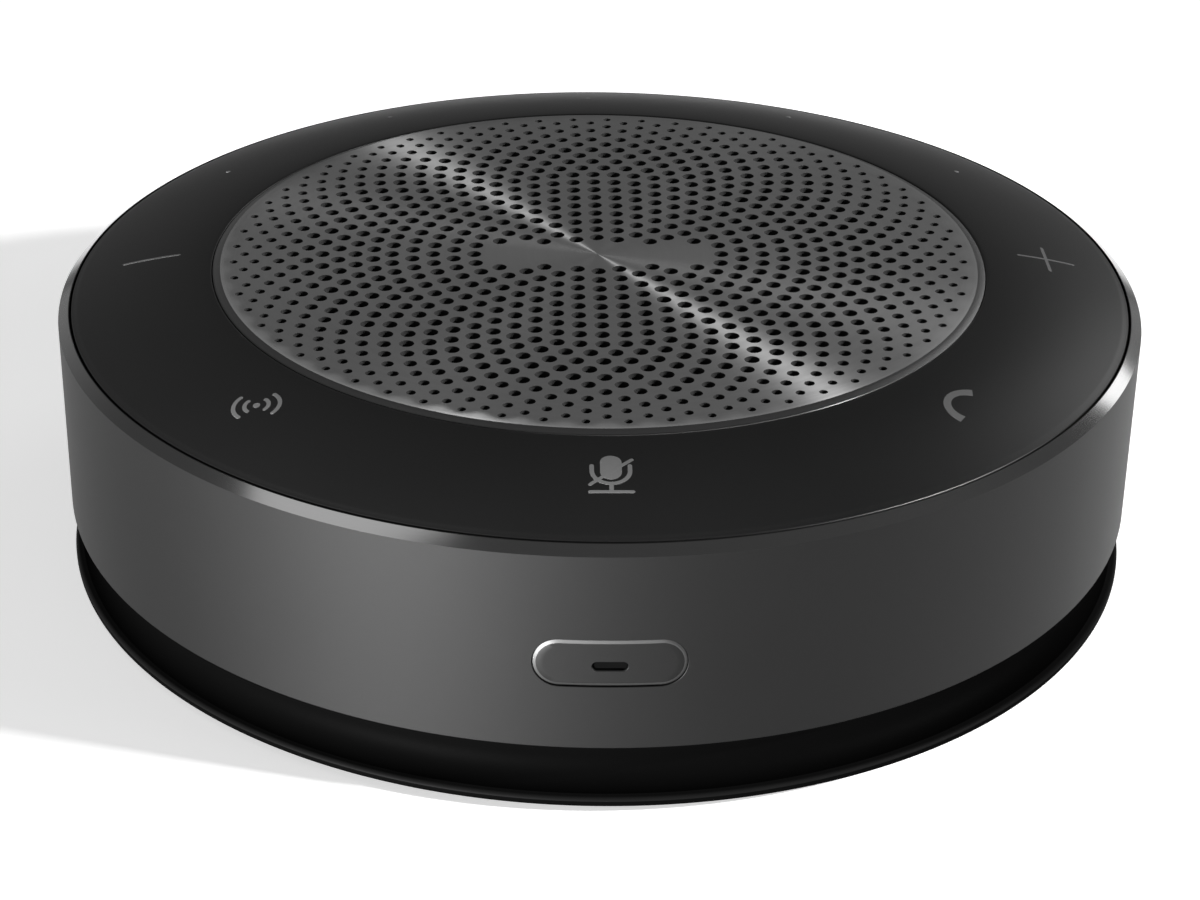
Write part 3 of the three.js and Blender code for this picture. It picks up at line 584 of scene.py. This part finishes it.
def touch_marks(material):
    """Printed marks on the black ring, all upright as seen from the front."""
    thin, bold = 0.42, 0.48
    half, aside = 3.35, 0.3
    level = line((-half, SIDE_MARK_RISE), (half, SIDE_MARK_RISE))
    upright = line((aside, SIDE_MARK_RISE - half), (aside, SIDE_MARK_RISE + half))
    mark("mark_minus", 180, [(level, thin)], material)
    mark("mark_plus", 0, [(level + (aside, 0), thin), (upright, thin)], material)
    # wireless link: a dot with two waves on each side
    waves = [(arc((0, 0.5), r, a - 44, a + 44), bold) for r in (1.35, 2.6) for a in (0, 180)]
    mark("mark_link", 225, [(line((0, 0.45), (0, 0.55), 3), 0.8)] + waves, material)
    # call: a handset bow, wider towards both ends with the square of the way from its middle
    bow = arc((2.0, 0.55), 2.85, 84, 240, 40)
    swell = 0.85 + 0.4 * np.linspace(-1, 1, 40) ** 2
    mark("mark_call", 315, [(bow, swell, "blunt")], material)
    # microphone off: filled capsule, cradle, stem, foot and a slash
    capsule = [(line((0.17, 0.82), (0.17, 2.52), 14), 2.3)]
    curve = arc((0.16, 1.05), 2.02, 180, 360, 36)
    cradle = [(np.vstack([[(-1.86, 1.95)], curve, [(2.18, 1.95)]]), bold)]
    foot = [(line((0.16, -1.0), (0.16, -2.2)), bold), (line((-2.1, -2.25), (2.42, -2.25)), thin)]
    slash = [(line((-2.05, -1.1), (2.4, 2.95)), thin)]
    mark("mark_microphone_off", 270, capsule + cradle + foot + slash, material)


def status_dots(material):
    """The five light pipes: a thin pin on a wider foot, its flat top a hair above the cover."""
    foot_r, foot_h, pin_r = 1.1 * MM, 2 * MM, 0.36 * MM
    ease, stand = 0.1 * MM, 0.03 * MM
    for index in range(1, 6):
        low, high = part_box(f"light_pipe_{index}")
        x, y = (low.x + high.x) / 2, (low.y + high.y) / 2
        top = dome(math.hypot(x, y)) + stand
        foot_top = low.z + foot_h
        outline = rounded(
            [(0, low.z, 0), (foot_r, low.z, ease), (foot_r, foot_top, ease)]
            + [(pin_r, foot_top, 0), (pin_r, top, ease), (0, top, 0)]
        )
        xyz, quads, slot = turned(outline, 24, False)
        parts = [(xyz + np.array([x, y, 0]), quads, slot)]
        piece(f"status_dot_{index}", parts, 32, "light_guide", [material], f"light_pipe_{index}")


# ---- grille
PITCH = 2.5  # millimetres from ring to ring of holes
HOLE_R = 0.845  # millimetres
HOLE_SIDES = 16
EVEN_RINGS = 10  # inner rings, with six more holes each time
OUTER_RINGS = 11  # outer rings of sixty holes, drawn closer together towards the edge
STRIP_HALF_L, STRIP_HALF_W = 13, 3.2  # the plain strip across the middle, in millimetres


def grille_holes():
    """Centres and radii of the holes, in millimetres, with a plain strip left across the middle.

    Inner ring k lies at k pitches and has 6 k holes. Outer ring j starts from 27.23, steps out by 2.173
    and loses 0.054 of that step more with every ring; after the fourth its holes shrink evenly.
    Every second ring is turned by half the angle between two holes."""
    rings = [(PITCH * k, 6 * k, HOLE_R, k) for k in range(1, EVEN_RINGS + 1)]
    for j in range(OUTER_RINGS):
        r = 27.23 + 2.173 * j - 0.054 * j * (j - 1)
        hole = HOLE_R - 0.0557 * max(j - 3, 0)
        rings.append((r, 6 * EVEN_RINGS, hole, EVEN_RINGS + 1 + j))
    centres, radii = [], []
    for r, count, hole, k in rings:
        angle = (np.arange(count) + 0.5 * (k % 2)) * TURN / count
        centres.append(np.stack([r * np.cos(angle), r * np.sin(angle)], 1))
        radii.append(np.full(count, hole))
    centres, radii = np.vstack(centres), np.concatenate(radii)
    x, y = np.abs(centres).T
    keep = (x > STRIP_HALF_L) | (y > STRIP_HALF_W)
    return centres[keep], radii[keep]


def holed_plane(rim_r, rim_count, centres, radii, sides, spacing=0):
    """Triangles of a disc with round holes, by constrained Delaunay triangulation, in the units given.

    A triangle whose three corners lie on one hole's outline is inside that hole and is left out.
    A spacing above 0 adds rings of points that far apart, clear of the holes, to keep triangles small."""
    rim = rim_r * circle(rim_count)
    holes = centres[:, None] + radii[:, None, None] * circle(sides)[None]
    points = np.vstack([rim, holes.reshape(-1, 2)])
    if spacing:
        level = np.arange(1, int(rim_r / spacing)) * spacing
        count = np.round(TURN * level / spacing).astype(int)
        reach = np.repeat(level, count)
        order = np.arange(len(reach)) - np.repeat(np.cumsum(count) - count, count)
        bearing = order * TURN / np.repeat(count, count)
        filling = reach[:, None] * np.stack([np.cos(bearing), np.sin(bearing)], 1)
        apart = np.linalg.norm(filling[:, None] - centres[None], axis=-1)
        points = np.vstack([points, filling[(apart > radii[None] + spacing / 2).all(1)]])
    rim_edges = np.stack([np.arange(rim_count), (np.arange(rim_count) + 1) % rim_count], 1)
    starts = rim_count + np.arange(len(centres))[:, None] * sides
    step = np.arange(sides)[None]
    hole_edges = np.stack([starts + step, starts + (step + 1) % sides], -1).reshape(-1, 2)
    edges = np.vstack([rim_edges, hole_edges]).tolist()
    net = geometry.delaunay_2d_cdt(points.tolist(), edges, [], 0, 1e-7)
    found, faces = np.array(net[0]), np.array(net[2])
    apart = np.linalg.norm(found[:, None] - centres[None], axis=-1)
    owner = (apart - radii).argmin(1)
    on_edge = apart[np.arange(len(found)), owner] < radii[owner] + 1e-4
    owner = np.where(on_edge, owner, -1)[faces]
    inside = (owner[:, 0] >= 0) & (owner == owner[:, :1]).all(1)
    return found, faces[~inside]


def grille(materials):
    """A perforated disc with a bevelled rim, in millimetres until it becomes a mesh.

    A hole's wall is a stack of three circles: the wider one of its chamfer and two of its own radius."""
    centres, radii = grille_holes()
    ease, bevel_w, bevel_h = 0.04, 0.9, 0.34
    top, low = TOP_Z / MM, GRILLE_LOW.z / MM
    plate, bevelled, dark = range(3)  # material indices
    flat_r = GRILLE_R / MM - bevel_w
    upper, faces_up = holed_plane(flat_r, TURNS, centres, radii + ease, HOLE_SIDES)
    lower, faces_low = holed_plane(GRILLE_R / MM, TURNS, centres, radii, HOLE_SIDES)
    parts = [
        (np.column_stack([upper, np.full(len(upper), top)]) * MM, faces_up, plate),
        (np.column_stack([lower, np.full(len(lower), low)]) * MM, faces_low[:, ::-1], plate),
    ]
    wider, height = np.array([(ease, top), (0, top - ease), (0, low)]).T
    reach = radii[:, None] + wider[None]
    plan = centres[:, None, None] + reach[..., None, None] * circle(HOLE_SIDES)
    level = np.broadcast_to(height[None, :, None, None], plan.shape[:3] + (1,))
    walls = np.concatenate([plan, level], -1)
    one = grid_faces(len(height), HOLE_SIDES, False, True)
    first = np.arange(len(radii)) * len(height) * HOLE_SIDES
    # The hole walls take the near-black walls finish: painted shade inside the holes.
    parts.append((walls * MM, (one[None] + first[:, None, None]).reshape(-1, 4), dark))
    rim = np.array([[flat_r, top], [GRILLE_R / MM, top - bevel_h], [GRILLE_R / MM, low]]) * MM
    xyz, quads, _ = turned(rim, TURNS, False)
    parts += [(xyz, quads[:TURNS], bevelled), (xyz, quads[TURNS:], plate)]
    piece("grille", parts, 25, "grille_metal", materials, "grille_plate")


# ---- side band
PATCH_COLS, PATCH_ROWS = 24, 8  # points along the rectangle that is remade round a window
PATCH_LOOPS = 8  # rings between the rectangle and the window
PATCH_SPREAD = 1.4  # the power by which those rings widen outwards
PLAIN_STEPS = 110  # facets of each plain stretch of wall between the two windows


def window_patch(r, window, grow=0):
    """Part of a cylinder wall of radius r from a rectangle in to a pill hole, which may grow by a little.

    A point of ring k is the mix of a point of the hole and one of the rectangle, by the share
    (k / rings) to the power of the spread. The flat plan is then bent round the cylinder."""
    centre, half_w, z_low, z_high, length, height = window
    cols, rows = PATCH_COLS, PATCH_ROWS
    u = np.linspace(-half_w, half_w, cols + 1)
    v = np.linspace(z_low, z_high, rows + 1) - (z_low + z_high) / 2
    mid = rows // 2
    right = np.stack([np.full(rows - mid, half_w), v[mid:-1]], 1)
    top = np.stack([u[::-1][:-1], np.full(cols, v[-1])], 1)
    left = np.stack([np.full(rows, -half_w), v[::-1][:-1]], 1)
    bottom = np.stack([u[:-1], np.full(cols, v[0])], 1)
    last = np.stack([np.full(mid, half_w), v[:mid]], 1)
    frame_line = np.vstack([right, top, left, bottom, last])
    count = len(frame_line)
    hole = np.stack(pill(length + grow, height + grow, count), 1)
    share = np.linspace(0, 1, PATCH_LOOPS + 1)[:, None, None] ** PATCH_SPREAD
    plan = hole[None] * (1 - share) + frame_line[None] * share
    angle = centre + plan[..., 0] / BODY_R
    z = plan[..., 1] + (z_low + z_high) / 2
    return np.stack([r * np.cos(angle), r * np.sin(angle), z], -1)


def side_band(materials):
    """A ring with a bevelled foot, a straight wall, a turned chamfer on top, a lip inside and two windows.

    Its outline is carried round the Z axis on angles and heights that meet the windows' rectangles. The
    faces of both walls inside a rectangle are left out and remade as a patch."""
    ease = FINE_EASE
    inner = BODY_R - BAND_WALL
    lip = RING_R + 0.1 * MM
    shelf_r = inner - 2 * MM
    side_top = BAND_HIGH.z - CHAMFER_H
    front_w, front_h = 11 * MM, 4.3 * MM  # half sizes of the rectangle round the button
    back_w, back_h = 6.5 * MM, 2.5 * MM  # and round the socket
    front_low, front_high = BUTTON_Z - front_h, BUTTON_Z + front_h
    back_low, back_high = SOCKET_Z - back_h, SOCKET_Z + back_h
    front_hole = (BUTTON_L + 2 * BUTTON_GAP, BUTTON_H + 2 * BUTTON_GAP)
    back_hole = (SOCKET_W + 2 * SOCKET_GAP, SOCKET_H + 2 * SOCKET_GAP)
    windows = [  # angle of the middle, half width, lower and upper height, length and height of the hole
        (-np.pi / 2, front_w, front_low, front_high, *front_hole),
        (np.pi / 2, back_w, back_low, back_high, *back_hole),
    ]
    front, back = front_w / BODY_R, back_w / BODY_R
    wide = np.pi - front - back
    angles = np.concatenate(
        [
            np.linspace(-front, front, PATCH_COLS + 1)[:-1],
            front + np.linspace(0, wide, PLAIN_STEPS + 1)[:-1],
            np.pi + np.linspace(-back, back, PATCH_COLS + 1)[:-1],
            np.pi + back + np.linspace(0, wide, PLAIN_STEPS + 1)[:-1],
        ]
    ) - np.pi / 2
    wall_z = np.concatenate(
        [
            [BAND_LOW.z + ease],
            np.linspace(back_low, back_high, PATCH_ROWS + 1),
            np.linspace(front_low, front_high, PATCH_ROWS + 1),
            np.linspace(front_high, side_top, 5)[1:],
        ]
    )
    side = np.stack([np.full(len(wall_z), BODY_R), wall_z], 1)
    inside = np.stack([np.full(len(wall_z), inner), wall_z], 1)[::-1]
    lip_low = BAND_HIGH.z - 1.6 * MM
    shelf_low = lip_low - 1.2 * MM
    top = [
        [lip + 0.12 * MM, BAND_HIGH.z - 0.08 * MM],
        [lip + 0.05 * MM, BAND_HIGH.z - 0.03 * MM],
        [lip, BAND_HIGH.z - 0.1 * MM],
        [lip, lip_low],
        [shelf_r, lip_low],
        [shelf_r, shelf_low],
        [inner, shelf_low],
    ]
    inside = inside[inside[:, 1] < shelf_low]
    bottom = [[inner, BAND_LOW.z], [BODY_R - ease, BAND_LOW.z]]
    outline = np.vstack([side, top, inside, bottom])
    r, z = outline.T
    n, m = len(outline), len(angles)
    height = np.repeat(z[:, None], m, 1)
    xyz = np.stack([np.outer(r, np.cos(angles)), np.outer(r, np.sin(angles)), height], -1)
    quads = grid_faces(n, m, True, True)
    row, col = np.divmod(np.arange(len(quads)), m)
    chamfer = row == len(side) - 1
    keep = np.ones(len(quads), bool)
    z_mid = (z[row] + z[(row + 1) % n]) / 2
    upright = r[row] == r[(row + 1) % n]
    on_wall = upright & ((r[row] == BODY_R) | (r[row] == inner))
    for index, (_, _, z_low, z_high, _, _) in enumerate(windows):
        first = index * (PATCH_COLS + PLAIN_STEPS)
        beside = (col >= first) & (col < first + PATCH_COLS)
        keep &= ~(on_wall & beside & (z_mid > z_low) & (z_mid < z_high))
    parts = [(xyz, quads[keep & ~chamfer], 0), (xyz, quads[keep & chamfer], 1)]
    for window in windows:
        outer = window_patch(BODY_R, window, ease)
        eased = window_patch(BODY_R - ease / 2, window)
        back_side = window_patch(inner, window)
        count = outer.shape[1]
        faces = grid_faces(PATCH_LOOPS + 1, count, False, True)
        parts += [(outer, faces, 0), (back_side, faces[:, ::-1], 0)]
        walls = np.stack([outer[0], eased[0], back_side[0]])
        parts.append((walls, grid_faces(3, count, False, True), 0))
    piece("side_band_shell", parts, 30, "band_metal", materials, "side_band")


# ---- power button
def button_cap(materials):
    """The cap's skin on pill outlines: from the flange to the chamfer, over the curved face, into the slot.

    A row on the face follows the band's curve: y is minus the root of (radius squared less x squared).
    Between the chamfer and the slot the outlines shrink and drop in even shares."""
    face_r = BODY_R - BUTTON_RECESS
    chamfer = 0.33 * MM
    ease = FINE_EASE
    flange = 1.0 * MM
    face_l, face_h = BUTTON_L - 2.4 * chamfer, BUTTON_H - 2.4 * chamfer
    mouth_l, mouth_h = SLOT_L + 2 * ease, SLOT_H + 2 * ease
    count = 128
    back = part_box("button_light_guide")[1].y
    front = back - flange

    def on_face(depth):
        return lambda x: depth - np.sqrt(face_r**2 - x**2)

    rows = [
        (BUTTON_L + 2 * flange, BUTTON_H + 2 * flange, flat(back)),
        (BUTTON_L + 2 * flange, BUTTON_H + 2 * flange, flat(front)),
        (BUTTON_L, BUTTON_H, flat(front)),
        (BUTTON_L, BUTTON_H, on_face(chamfer * 0.5)),
        (BUTTON_L - 2 * chamfer, BUTTON_H - 2 * chamfer, on_face(0.03 * MM)),
    ]
    for share in np.linspace(0, 1, 8):
        length = (1 - share) * face_l + share * mouth_l
        height = (1 - share) * face_h + share * mouth_h
        rows.append((length, height, on_face(0), share * SLOT_DROP))
    rows.append((SLOT_L, SLOT_H, on_face(ease), SLOT_DROP))
    rows.append((SLOT_L, SLOT_H, flat(back), SLOT_DROP))
    xyz = pill_rows(rows, count)
    xyz[..., 2] += BUTTON_Z
    quads = grid_faces(len(rows), count, True, True)
    row = quads[:, 0] // count
    # The side wall, in the gap round the cap, takes the near-black walls finish: painted shade in the gap.
    slots = np.select([row == 3, row == 2], [1, 2], 0)  # chamfer, side wall and the rest
    parts = [(xyz, quads[slots == slot], slot) for slot in range(3)]
    piece("button_cap", parts, 24, "button_metal", materials, "power_button", body="power_button")


# ---- base and foot
def base_tray(materials):
    """The tray's skin: flat underside with a groove, rim lip, concave flare, drawn-in wall and its shoulder.

    The flare is a quarter of an ellipse: in with the sine of the angle, up with 1 less the cosine.
    The underside is a disc with four screw bores, each a turned outline."""
    lip_top = BASE_LOW.z + 1.1 * MM
    wall_r = BODY_R - 3.6 * MM
    wall_inner = wall_r - 1.8 * MM
    shoulder_r = BODY_R - 0.9 * MM
    shoulder_z = BAND_LOW.z - 0.02 * MM
    groove_r = FOOT_HIGH.x + 0.1 * MM
    under_r = FOOT_HIGH.x - 5.6 * MM
    groove_top = FOOT_HIGH.z
    bore_r, bore_top, bore_sides = 2.8 * MM, BASE_LOW.z + 1.9 * MM, 48
    spacing = 3  # millimetres between the points of the underside
    # The skin is near-black, darker than the underside: painted shade on the skirt under the band. The rim
    # lip is lighter and glossier: a painted highlight along its top.
    skin, rim_highlight, under_skin = range(3)  # material indices
    flare_r, flare_w, flare_h = BODY_R - 0.6 * MM, 3.0 * MM, 3.2 * MM
    angle = np.linspace(0, np.pi / 2, 14)[1:]
    flare = np.stack([flare_r - flare_w * np.sin(angle), lip_top + flare_h * (1 - np.cos(angle))], 1)
    floor_z = BASE_LOW.z + 2 * MM
    rim = rounded(
        [
            (groove_r, groove_top, 0),
            (groove_r, BASE_LOW.z, 0.15 * MM),
            (BODY_R, BASE_LOW.z, 0.35 * MM),
            (BODY_R, lip_top, 0.5 * MM),
            (BODY_R - 2 * MM, lip_top, 0),
        ],
        6,
    )[:-1]
    tail = [
        [wall_r, BAND_LOW.z - 1.6 * MM],
        [shoulder_r, BAND_LOW.z - 0.8 * MM],
        [shoulder_r, shoulder_z],
        [BODY_R - 3.4 * MM, shoulder_z],
        [wall_inner, BAND_LOW.z - 1.4 * MM],
        [wall_inner, floor_z],
        [0, floor_z],
    ]
    groove_line = [[under_r, BASE_LOW.z], [under_r, groove_top]]
    outline = np.vstack([groove_line, rim, flare, tail])
    screws = [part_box(f"base_screw_{i}") for i in range(1, 5)]
    centres = np.array([((a.x + b.x) / 2, (a.y + b.y) / 2) for a, b in screws])
    bores = np.full(len(centres), bore_r / MM)
    found, faces = holed_plane(under_r / MM, TURNS, centres / MM, bores, bore_sides, spacing)
    under = np.column_stack([found * MM, np.full(len(found), BASE_LOW.z)])
    xyz, quads, _ = turned(outline, TURNS, False)
    r, z = outline[quads[:, 0] // TURNS].T
    # on_rim picks the top of the lip, which takes the painted highlight.
    on_rim = (r > shoulder_r) & (z > lip_top - 0.5 * MM) & (z < lip_top + 1 * MM)
    parts = [(xyz, quads[~on_rim], skin), (xyz, quads[on_rim], rim_highlight), (under, faces[:, ::-1], under_skin)]
    bore_line = [(bore_r, BASE_LOW.z), (bore_r, bore_top), (0, bore_top)]
    wall, quads, _ = turned(bore_line, bore_sides, False)
    for x, y in centres:
        parts.append((wall + np.array([x, y, 0]), quads, under_skin))
    piece("base_tray", parts, 30, "base_plastic", materials, "base_shell")


def foot(materials):
    """The rubber ring: rounded below, with three shallow grooves in the face that it stands on."""
    outer, inner = FOOT_HIGH.x, FOOT_HIGH.x - 5.5 * MM
    round_r, groove_h, flank = 0.3 * MM, 0.25 * MM, 0.15 * MM
    corners = [(inner, FOOT_HIGH.z, 0), (inner, 0, round_r)]
    for k in range(3):
        x = inner + (1.2 + k * 1.35) * MM
        corners += [(x, 0, 0), (x + flank, groove_h, 0), (x + 2 * flank, groove_h, 0), (x + 3 * flank, 0, 0)]
    corners += [(outer, 0, round_r), (outer, FOOT_HIGH.z, 0)]
    piece("foot_pad", [turned(rounded(corners))], 30, "foot_rubber", materials, "foot_ring")


def base_screws(materials):
    """Pan heads, each with a socket whose radius swells and shrinks six times round the turn."""
    count = 48
    angle = np.arange(count) * TURN / count
    lobe = 0.14 * np.cos(6 * angle)
    head = 2.45
    rows = np.array(
        [  # radius and height above the head's face in millimetres, share of the lobed outline
            (0.02, 0.9, 1),
            (1.1, 0.9, 1),
            (1.15, 0.08, 1),
            (1.25, 0, 1),
            (1.9, 0.02, 0),
            (head - 0.15, 0.3, 0),
            (head, 0.6, 0),
            (head, 1.1, 0),
            (1.3, 1.1, 0),
            (1.3, 11, 0),
            (0.02, 12, 0),
        ]
    ) * (MM, MM, 1)
    for index in range(1, 5):
        low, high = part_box(f"base_screw_{index}")
        x, y = (low.x + high.x) / 2, (low.y + high.y) / 2
        radius = rows[:, :1] * (1 + rows[:, 2:] * lobe)
        height = low.z + rows[:, 1:2] + 0 * angle
        xyz = np.stack([x + radius * np.cos(angle), y + radius * np.sin(angle), height], -1)
        piece(f"base_screw_head_{index}", capped(xyz), 35, "screw_steel", materials, f"base_screw_{index}")


# ---- socket
def socket(shell_material, tongue_material, contact_material):
    """The reversible socket: a drawn pill-shaped shell, a tongue in its middle and contacts on the tongue."""
    wall, ease = 0.3 * MM, FINE_EASE
    mouth, back = SOCKET_HIGH.y, SOCKET_LOW.y
    bore_w, bore_h = SOCKET_W - 2 * wall, SOCKET_H - 2 * wall
    count = 96
    rows = [
        (SOCKET_W, SOCKET_H, flat(back)),
        (SOCKET_W, SOCKET_H, flat(mouth - ease)),
        (SOCKET_W - ease, SOCKET_H - ease, flat(mouth)),
        (bore_w + ease, bore_h + ease, flat(mouth)),
        (bore_w, bore_h, flat(mouth - ease)),
        (bore_w, bore_h, flat(back + 1 * MM)),
    ]
    xyz = pill_rows(rows, count)
    xyz[..., 2] += SOCKET_Z
    piece("socket_shell", capped(xyz), 30, "plated_steel", [shell_material], "usb_socket")
    low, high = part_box("usb_tongue")
    width, thick = high.x - low.x, high.z - low.z
    rows = [
        (width, thick, flat(low.y)),
        (width, thick, flat(high.y - 0.3 * MM)),
        (width - 0.4 * MM, thick - 0.3 * MM, flat(high.y)),
    ]
    xyz = pill_rows(rows, count)
    xyz[..., 2] += SOCKET_Z
    piece("socket_tongue", capped(xyz), 30, "chip_plastic", [tongue_material], "usb_tongue")
    contact_y = high.y - 2.3 * MM
    half_size = np.array([0.13 * MM, 1.6 * MM, 0.02 * MM])
    corners = np.array([(a, b, c) for a in (-1, 1) for b in (-1, 1) for c in (-1, 1)]) * half_size
    faces = [[0, 1, 3, 2], [4, 6, 7, 5], [0, 4, 5, 1], [2, 3, 7, 6], [0, 2, 6, 4], [1, 5, 7, 3]]
    parts = []
    for x in (np.arange(12) - 5.5) * 0.5 * MM:
        for side in (-1, 1):
            parts.append((corners + np.array([x, contact_y, SOCKET_Z + side * thick / 2]), faces, 0))
    piece("socket_contacts", parts, 30, "coil_copper", [contact_material])


# ---- finishes of the pieces kept from the frame
def woven(name, dark, light, scale):
    """Cloth of crossing threads: the product of two sets of waves along X and Y."""
    look = Finish(name, Roughness=0.9)
    x, y, _ = look.axes()
    threads = (x * scale).sine() * (y * scale).sine() * 0.5 + 0.5
    look.feed(Base_Color=look.blend_colour(threads, dark, light))
    look.bump(threads, 0.05 * MM)
    return look.material


def speckled(name, dark, light, rough, scale=2500.0, metal=0.0, height=0.01 * MM):
    """A plain moulded, printed or rolled surface with fine speckle in tone, gloss and relief."""
    look = Finish(name, Metallic=metal)
    speck = look.noise(look.place(), scale, 3.0)
    cloud = look.noise(look.place(), 80.0)
    look.feed(Base_Color=look.blend_colour(speck * 0.5 + cloud * 0.5, dark, light))
    look.feed(Roughness=rough + speck * 0.08)
    look.bump(speck, height)
    return look.material


def laminate():
    """Green circuit board: a maze of slightly paler tracks under the varnish."""
    look = Finish("circuit_laminate", Coat_Weight=0.3)
    cells = look.node("ShaderNodeTexVoronoi", {"distance": "MANHATTAN"}, Vector=look.place(), Scale=420.0)
    tracks = cells.above(0.25, 0.35)
    look.feed(Base_Color=look.blend_colour(tracks, (0.01, 0.10, 0.035, 1), (0.025, 0.2, 0.07, 1)))
    look.feed(Roughness=0.35 + tracks * 0.15)
    look.bump(tracks, 0.02 * MM)
    return look.material


def wound_wire():
    """Copper turns side by side, as fine waves along Z."""
    look = Finish("wound_wire", Metallic=1.0)
    _, _, z = look.axes()
    wave = (z * 30000.0).sine() * 0.5 + 0.5
    look.feed(Base_Color=look.blend_colour(wave, (0.35, 0.12, 0.05, 1), (0.75, 0.33, 0.15, 1)))
    look.feed(Roughness=0.25 + wave * 0.1)
    look.bump(wave, 0.05 * MM)
    return look.material


def flexing_ring(name, node, material):
    """A copy of a ring, its points welded and its edges cut once, in the given finish, standing in for the
    frame's node, which is hidden."""
    obj = bpy.data.objects.new(name, frame["nodes"][node].data.copy())
    bpy.context.scene.collection.objects.link(obj)
    shape = bmesh.new()
    shape.from_mesh(obj.data)
    bmesh.ops.remove_doubles(shape, verts=shape.verts, dist=WELD)
    bmesh.ops.subdivide_edges(shape, edges=shape.edges, cuts=1, use_grid_fill=True)
    shape.to_mesh(obj.data)
    shape.free()
    obj.data.materials.clear()
    obj.data.materials.append(material)
    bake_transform(obj)
    co = np.zeros(len(obj.data.vertices) * 3)
    obj.data.vertices.foreach_get("co", co)
    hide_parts(node)


def carried_over(finishes):
    """Every node kept from the frame takes the finish of its own slot."""
    for part in frame["record"]["subparts"]:
        mesh = frame["nodes"][part["node"]].data
        mesh.materials.clear()
        mesh.materials.append(finishes[part["material_slot"]])


def main():
    """Stage, finishes of all nodes, then the pieces made anew."""
    camera()
    stage()
    grille_metal = spun_metal()
    band_metal = grained_metal("blasted_metal", 0.0152, 0.0182, 0.50)
    chamfer_metal = turned_edge()
    touch_black = satin_black("touch_black", 0.0045, 0.30, 5000.0, 0.002 * MM, 0.4)
    # Near-black, far darker than the underside's black: painted shade on the skirt under the band.
    base_shade_black = satin_black("base_shade_black", 0.0008, 0.5, 2500.0, 0.006 * MM, 0.5, 1.04)
    # Near-black for the grille's hole walls and the button's side wall: painted shade in holes and gaps.
    shade_black = speckled("painted_shade_walls", grey(0.008), grey(0.014), 0.7)
    # A near-black, barely glossy lens in the button's slot: partly the lens's own dark tone, partly painted
    # shade down in the slot.
    lens = satin_black("dark_lens_slot_shade", 0.0015, 0.5, 2500.0, 0.002 * MM, 0.5, 1.05)
    dot = speckled("status_dot", grey(0.16), grey(0.21), 0.4)
    rubber = speckled("foot_rubber", grey(0.02), grey(0.035), 0.75, 3000.0, height=0.02 * MM)
    steel = speckled("plated_steel", grey(0.5), grey(0.6), 0.25, metal=1.0)
    black_steel = speckled("black_steel", grey(0.08), grey(0.12), 0.35, metal=1.0)
    moulded = speckled("moulded_black", grey(0.02), grey(0.03), 0.5)
    copper = wound_wire()
    spider_cloth = woven("dipped_cloth", (0.35, 0.2, 0.06, 1), (0.6, 0.38, 0.14, 1), 9000.0)
    butyl = speckled("butyl_rubber", grey(0.015), grey(0.025), 0.55)
    finishes = {
        "grille_metal": grille_metal,
        "touch_black": touch_black,
        "band_metal": band_metal,
        "button_metal": band_metal,
        "base_plastic": base_shade_black,
        "foot_rubber": rubber,
        "light_guide": lens,
        "acoustic_cloth": woven("acoustic_cloth", grey(0.002), grey(0.01), 12000.0),
        "foam": speckled("foam", grey(0.02), grey(0.05), 0.9, 1500.0, height=0.1 * MM),
        "frame_plastic": moulded,
        "circuit_board": laminate(),
        "chip_plastic": moulded,
        "plated_steel": steel,
        "screw_steel": black_steel,
        "ferrite": speckled("ferrite", grey(0.04), grey(0.07), 0.6),
        "cone_paper": speckled("cone_pulp", grey(0.02), grey(0.04), 0.85, 900.0, height=0.05 * MM),
        "spider_cloth": spider_cloth,
        "coil_copper": copper,
        "surround_rubber": butyl,
        "battery_wrap": speckled("battery_wrap", (0.02, 0.08, 0.25, 1), (0.03, 0.12, 0.36, 1), 0.3),
        "flex_film": speckled("flex_film", (0.45, 0.18, 0.03, 1), (0.6, 0.27, 0.05, 1), 0.3),
        "lead_sleeve": speckled("lead_sleeve", (0.2, 0.01, 0.01, 1), (0.3, 0.02, 0.02, 1), 0.45),
    }
    carried_over(finishes)
    touch_ring([touch_black])
    touch_marks(ink("grey_print", 0.085))
    status_dots(dot)
    grille([grille_metal, grained_metal("turned_bevel", 0.16, 0.20, 0.3), shade_black])
    side_band([band_metal, chamfer_metal])
    button_cap([band_metal, grained_metal("button_edge", 0.055, 0.07, 0.5), shade_black])
    # Lighter and glossier than the skirt: a painted highlight along the rim lip.
    rim_highlight_black = satin_black("base_rim_highlight", 0.0028, 0.5, 2500.0, 0.006 * MM, 0.5, 1.08)
    under_black = satin_black("base_underside", 0.01, 0.5, 2500.0, 0.006 * MM, 0.5, 1.4)
    base_tray([base_shade_black, rim_highlight_black, under_black])
    foot([rubber])
    base_screws([black_steel])
    socket(steel, moulded, copper)
    flexing_ring("flexing_spider", "spider", spider_cloth)
    flexing_ring("flexing_surround", "surround", butyl)


main()
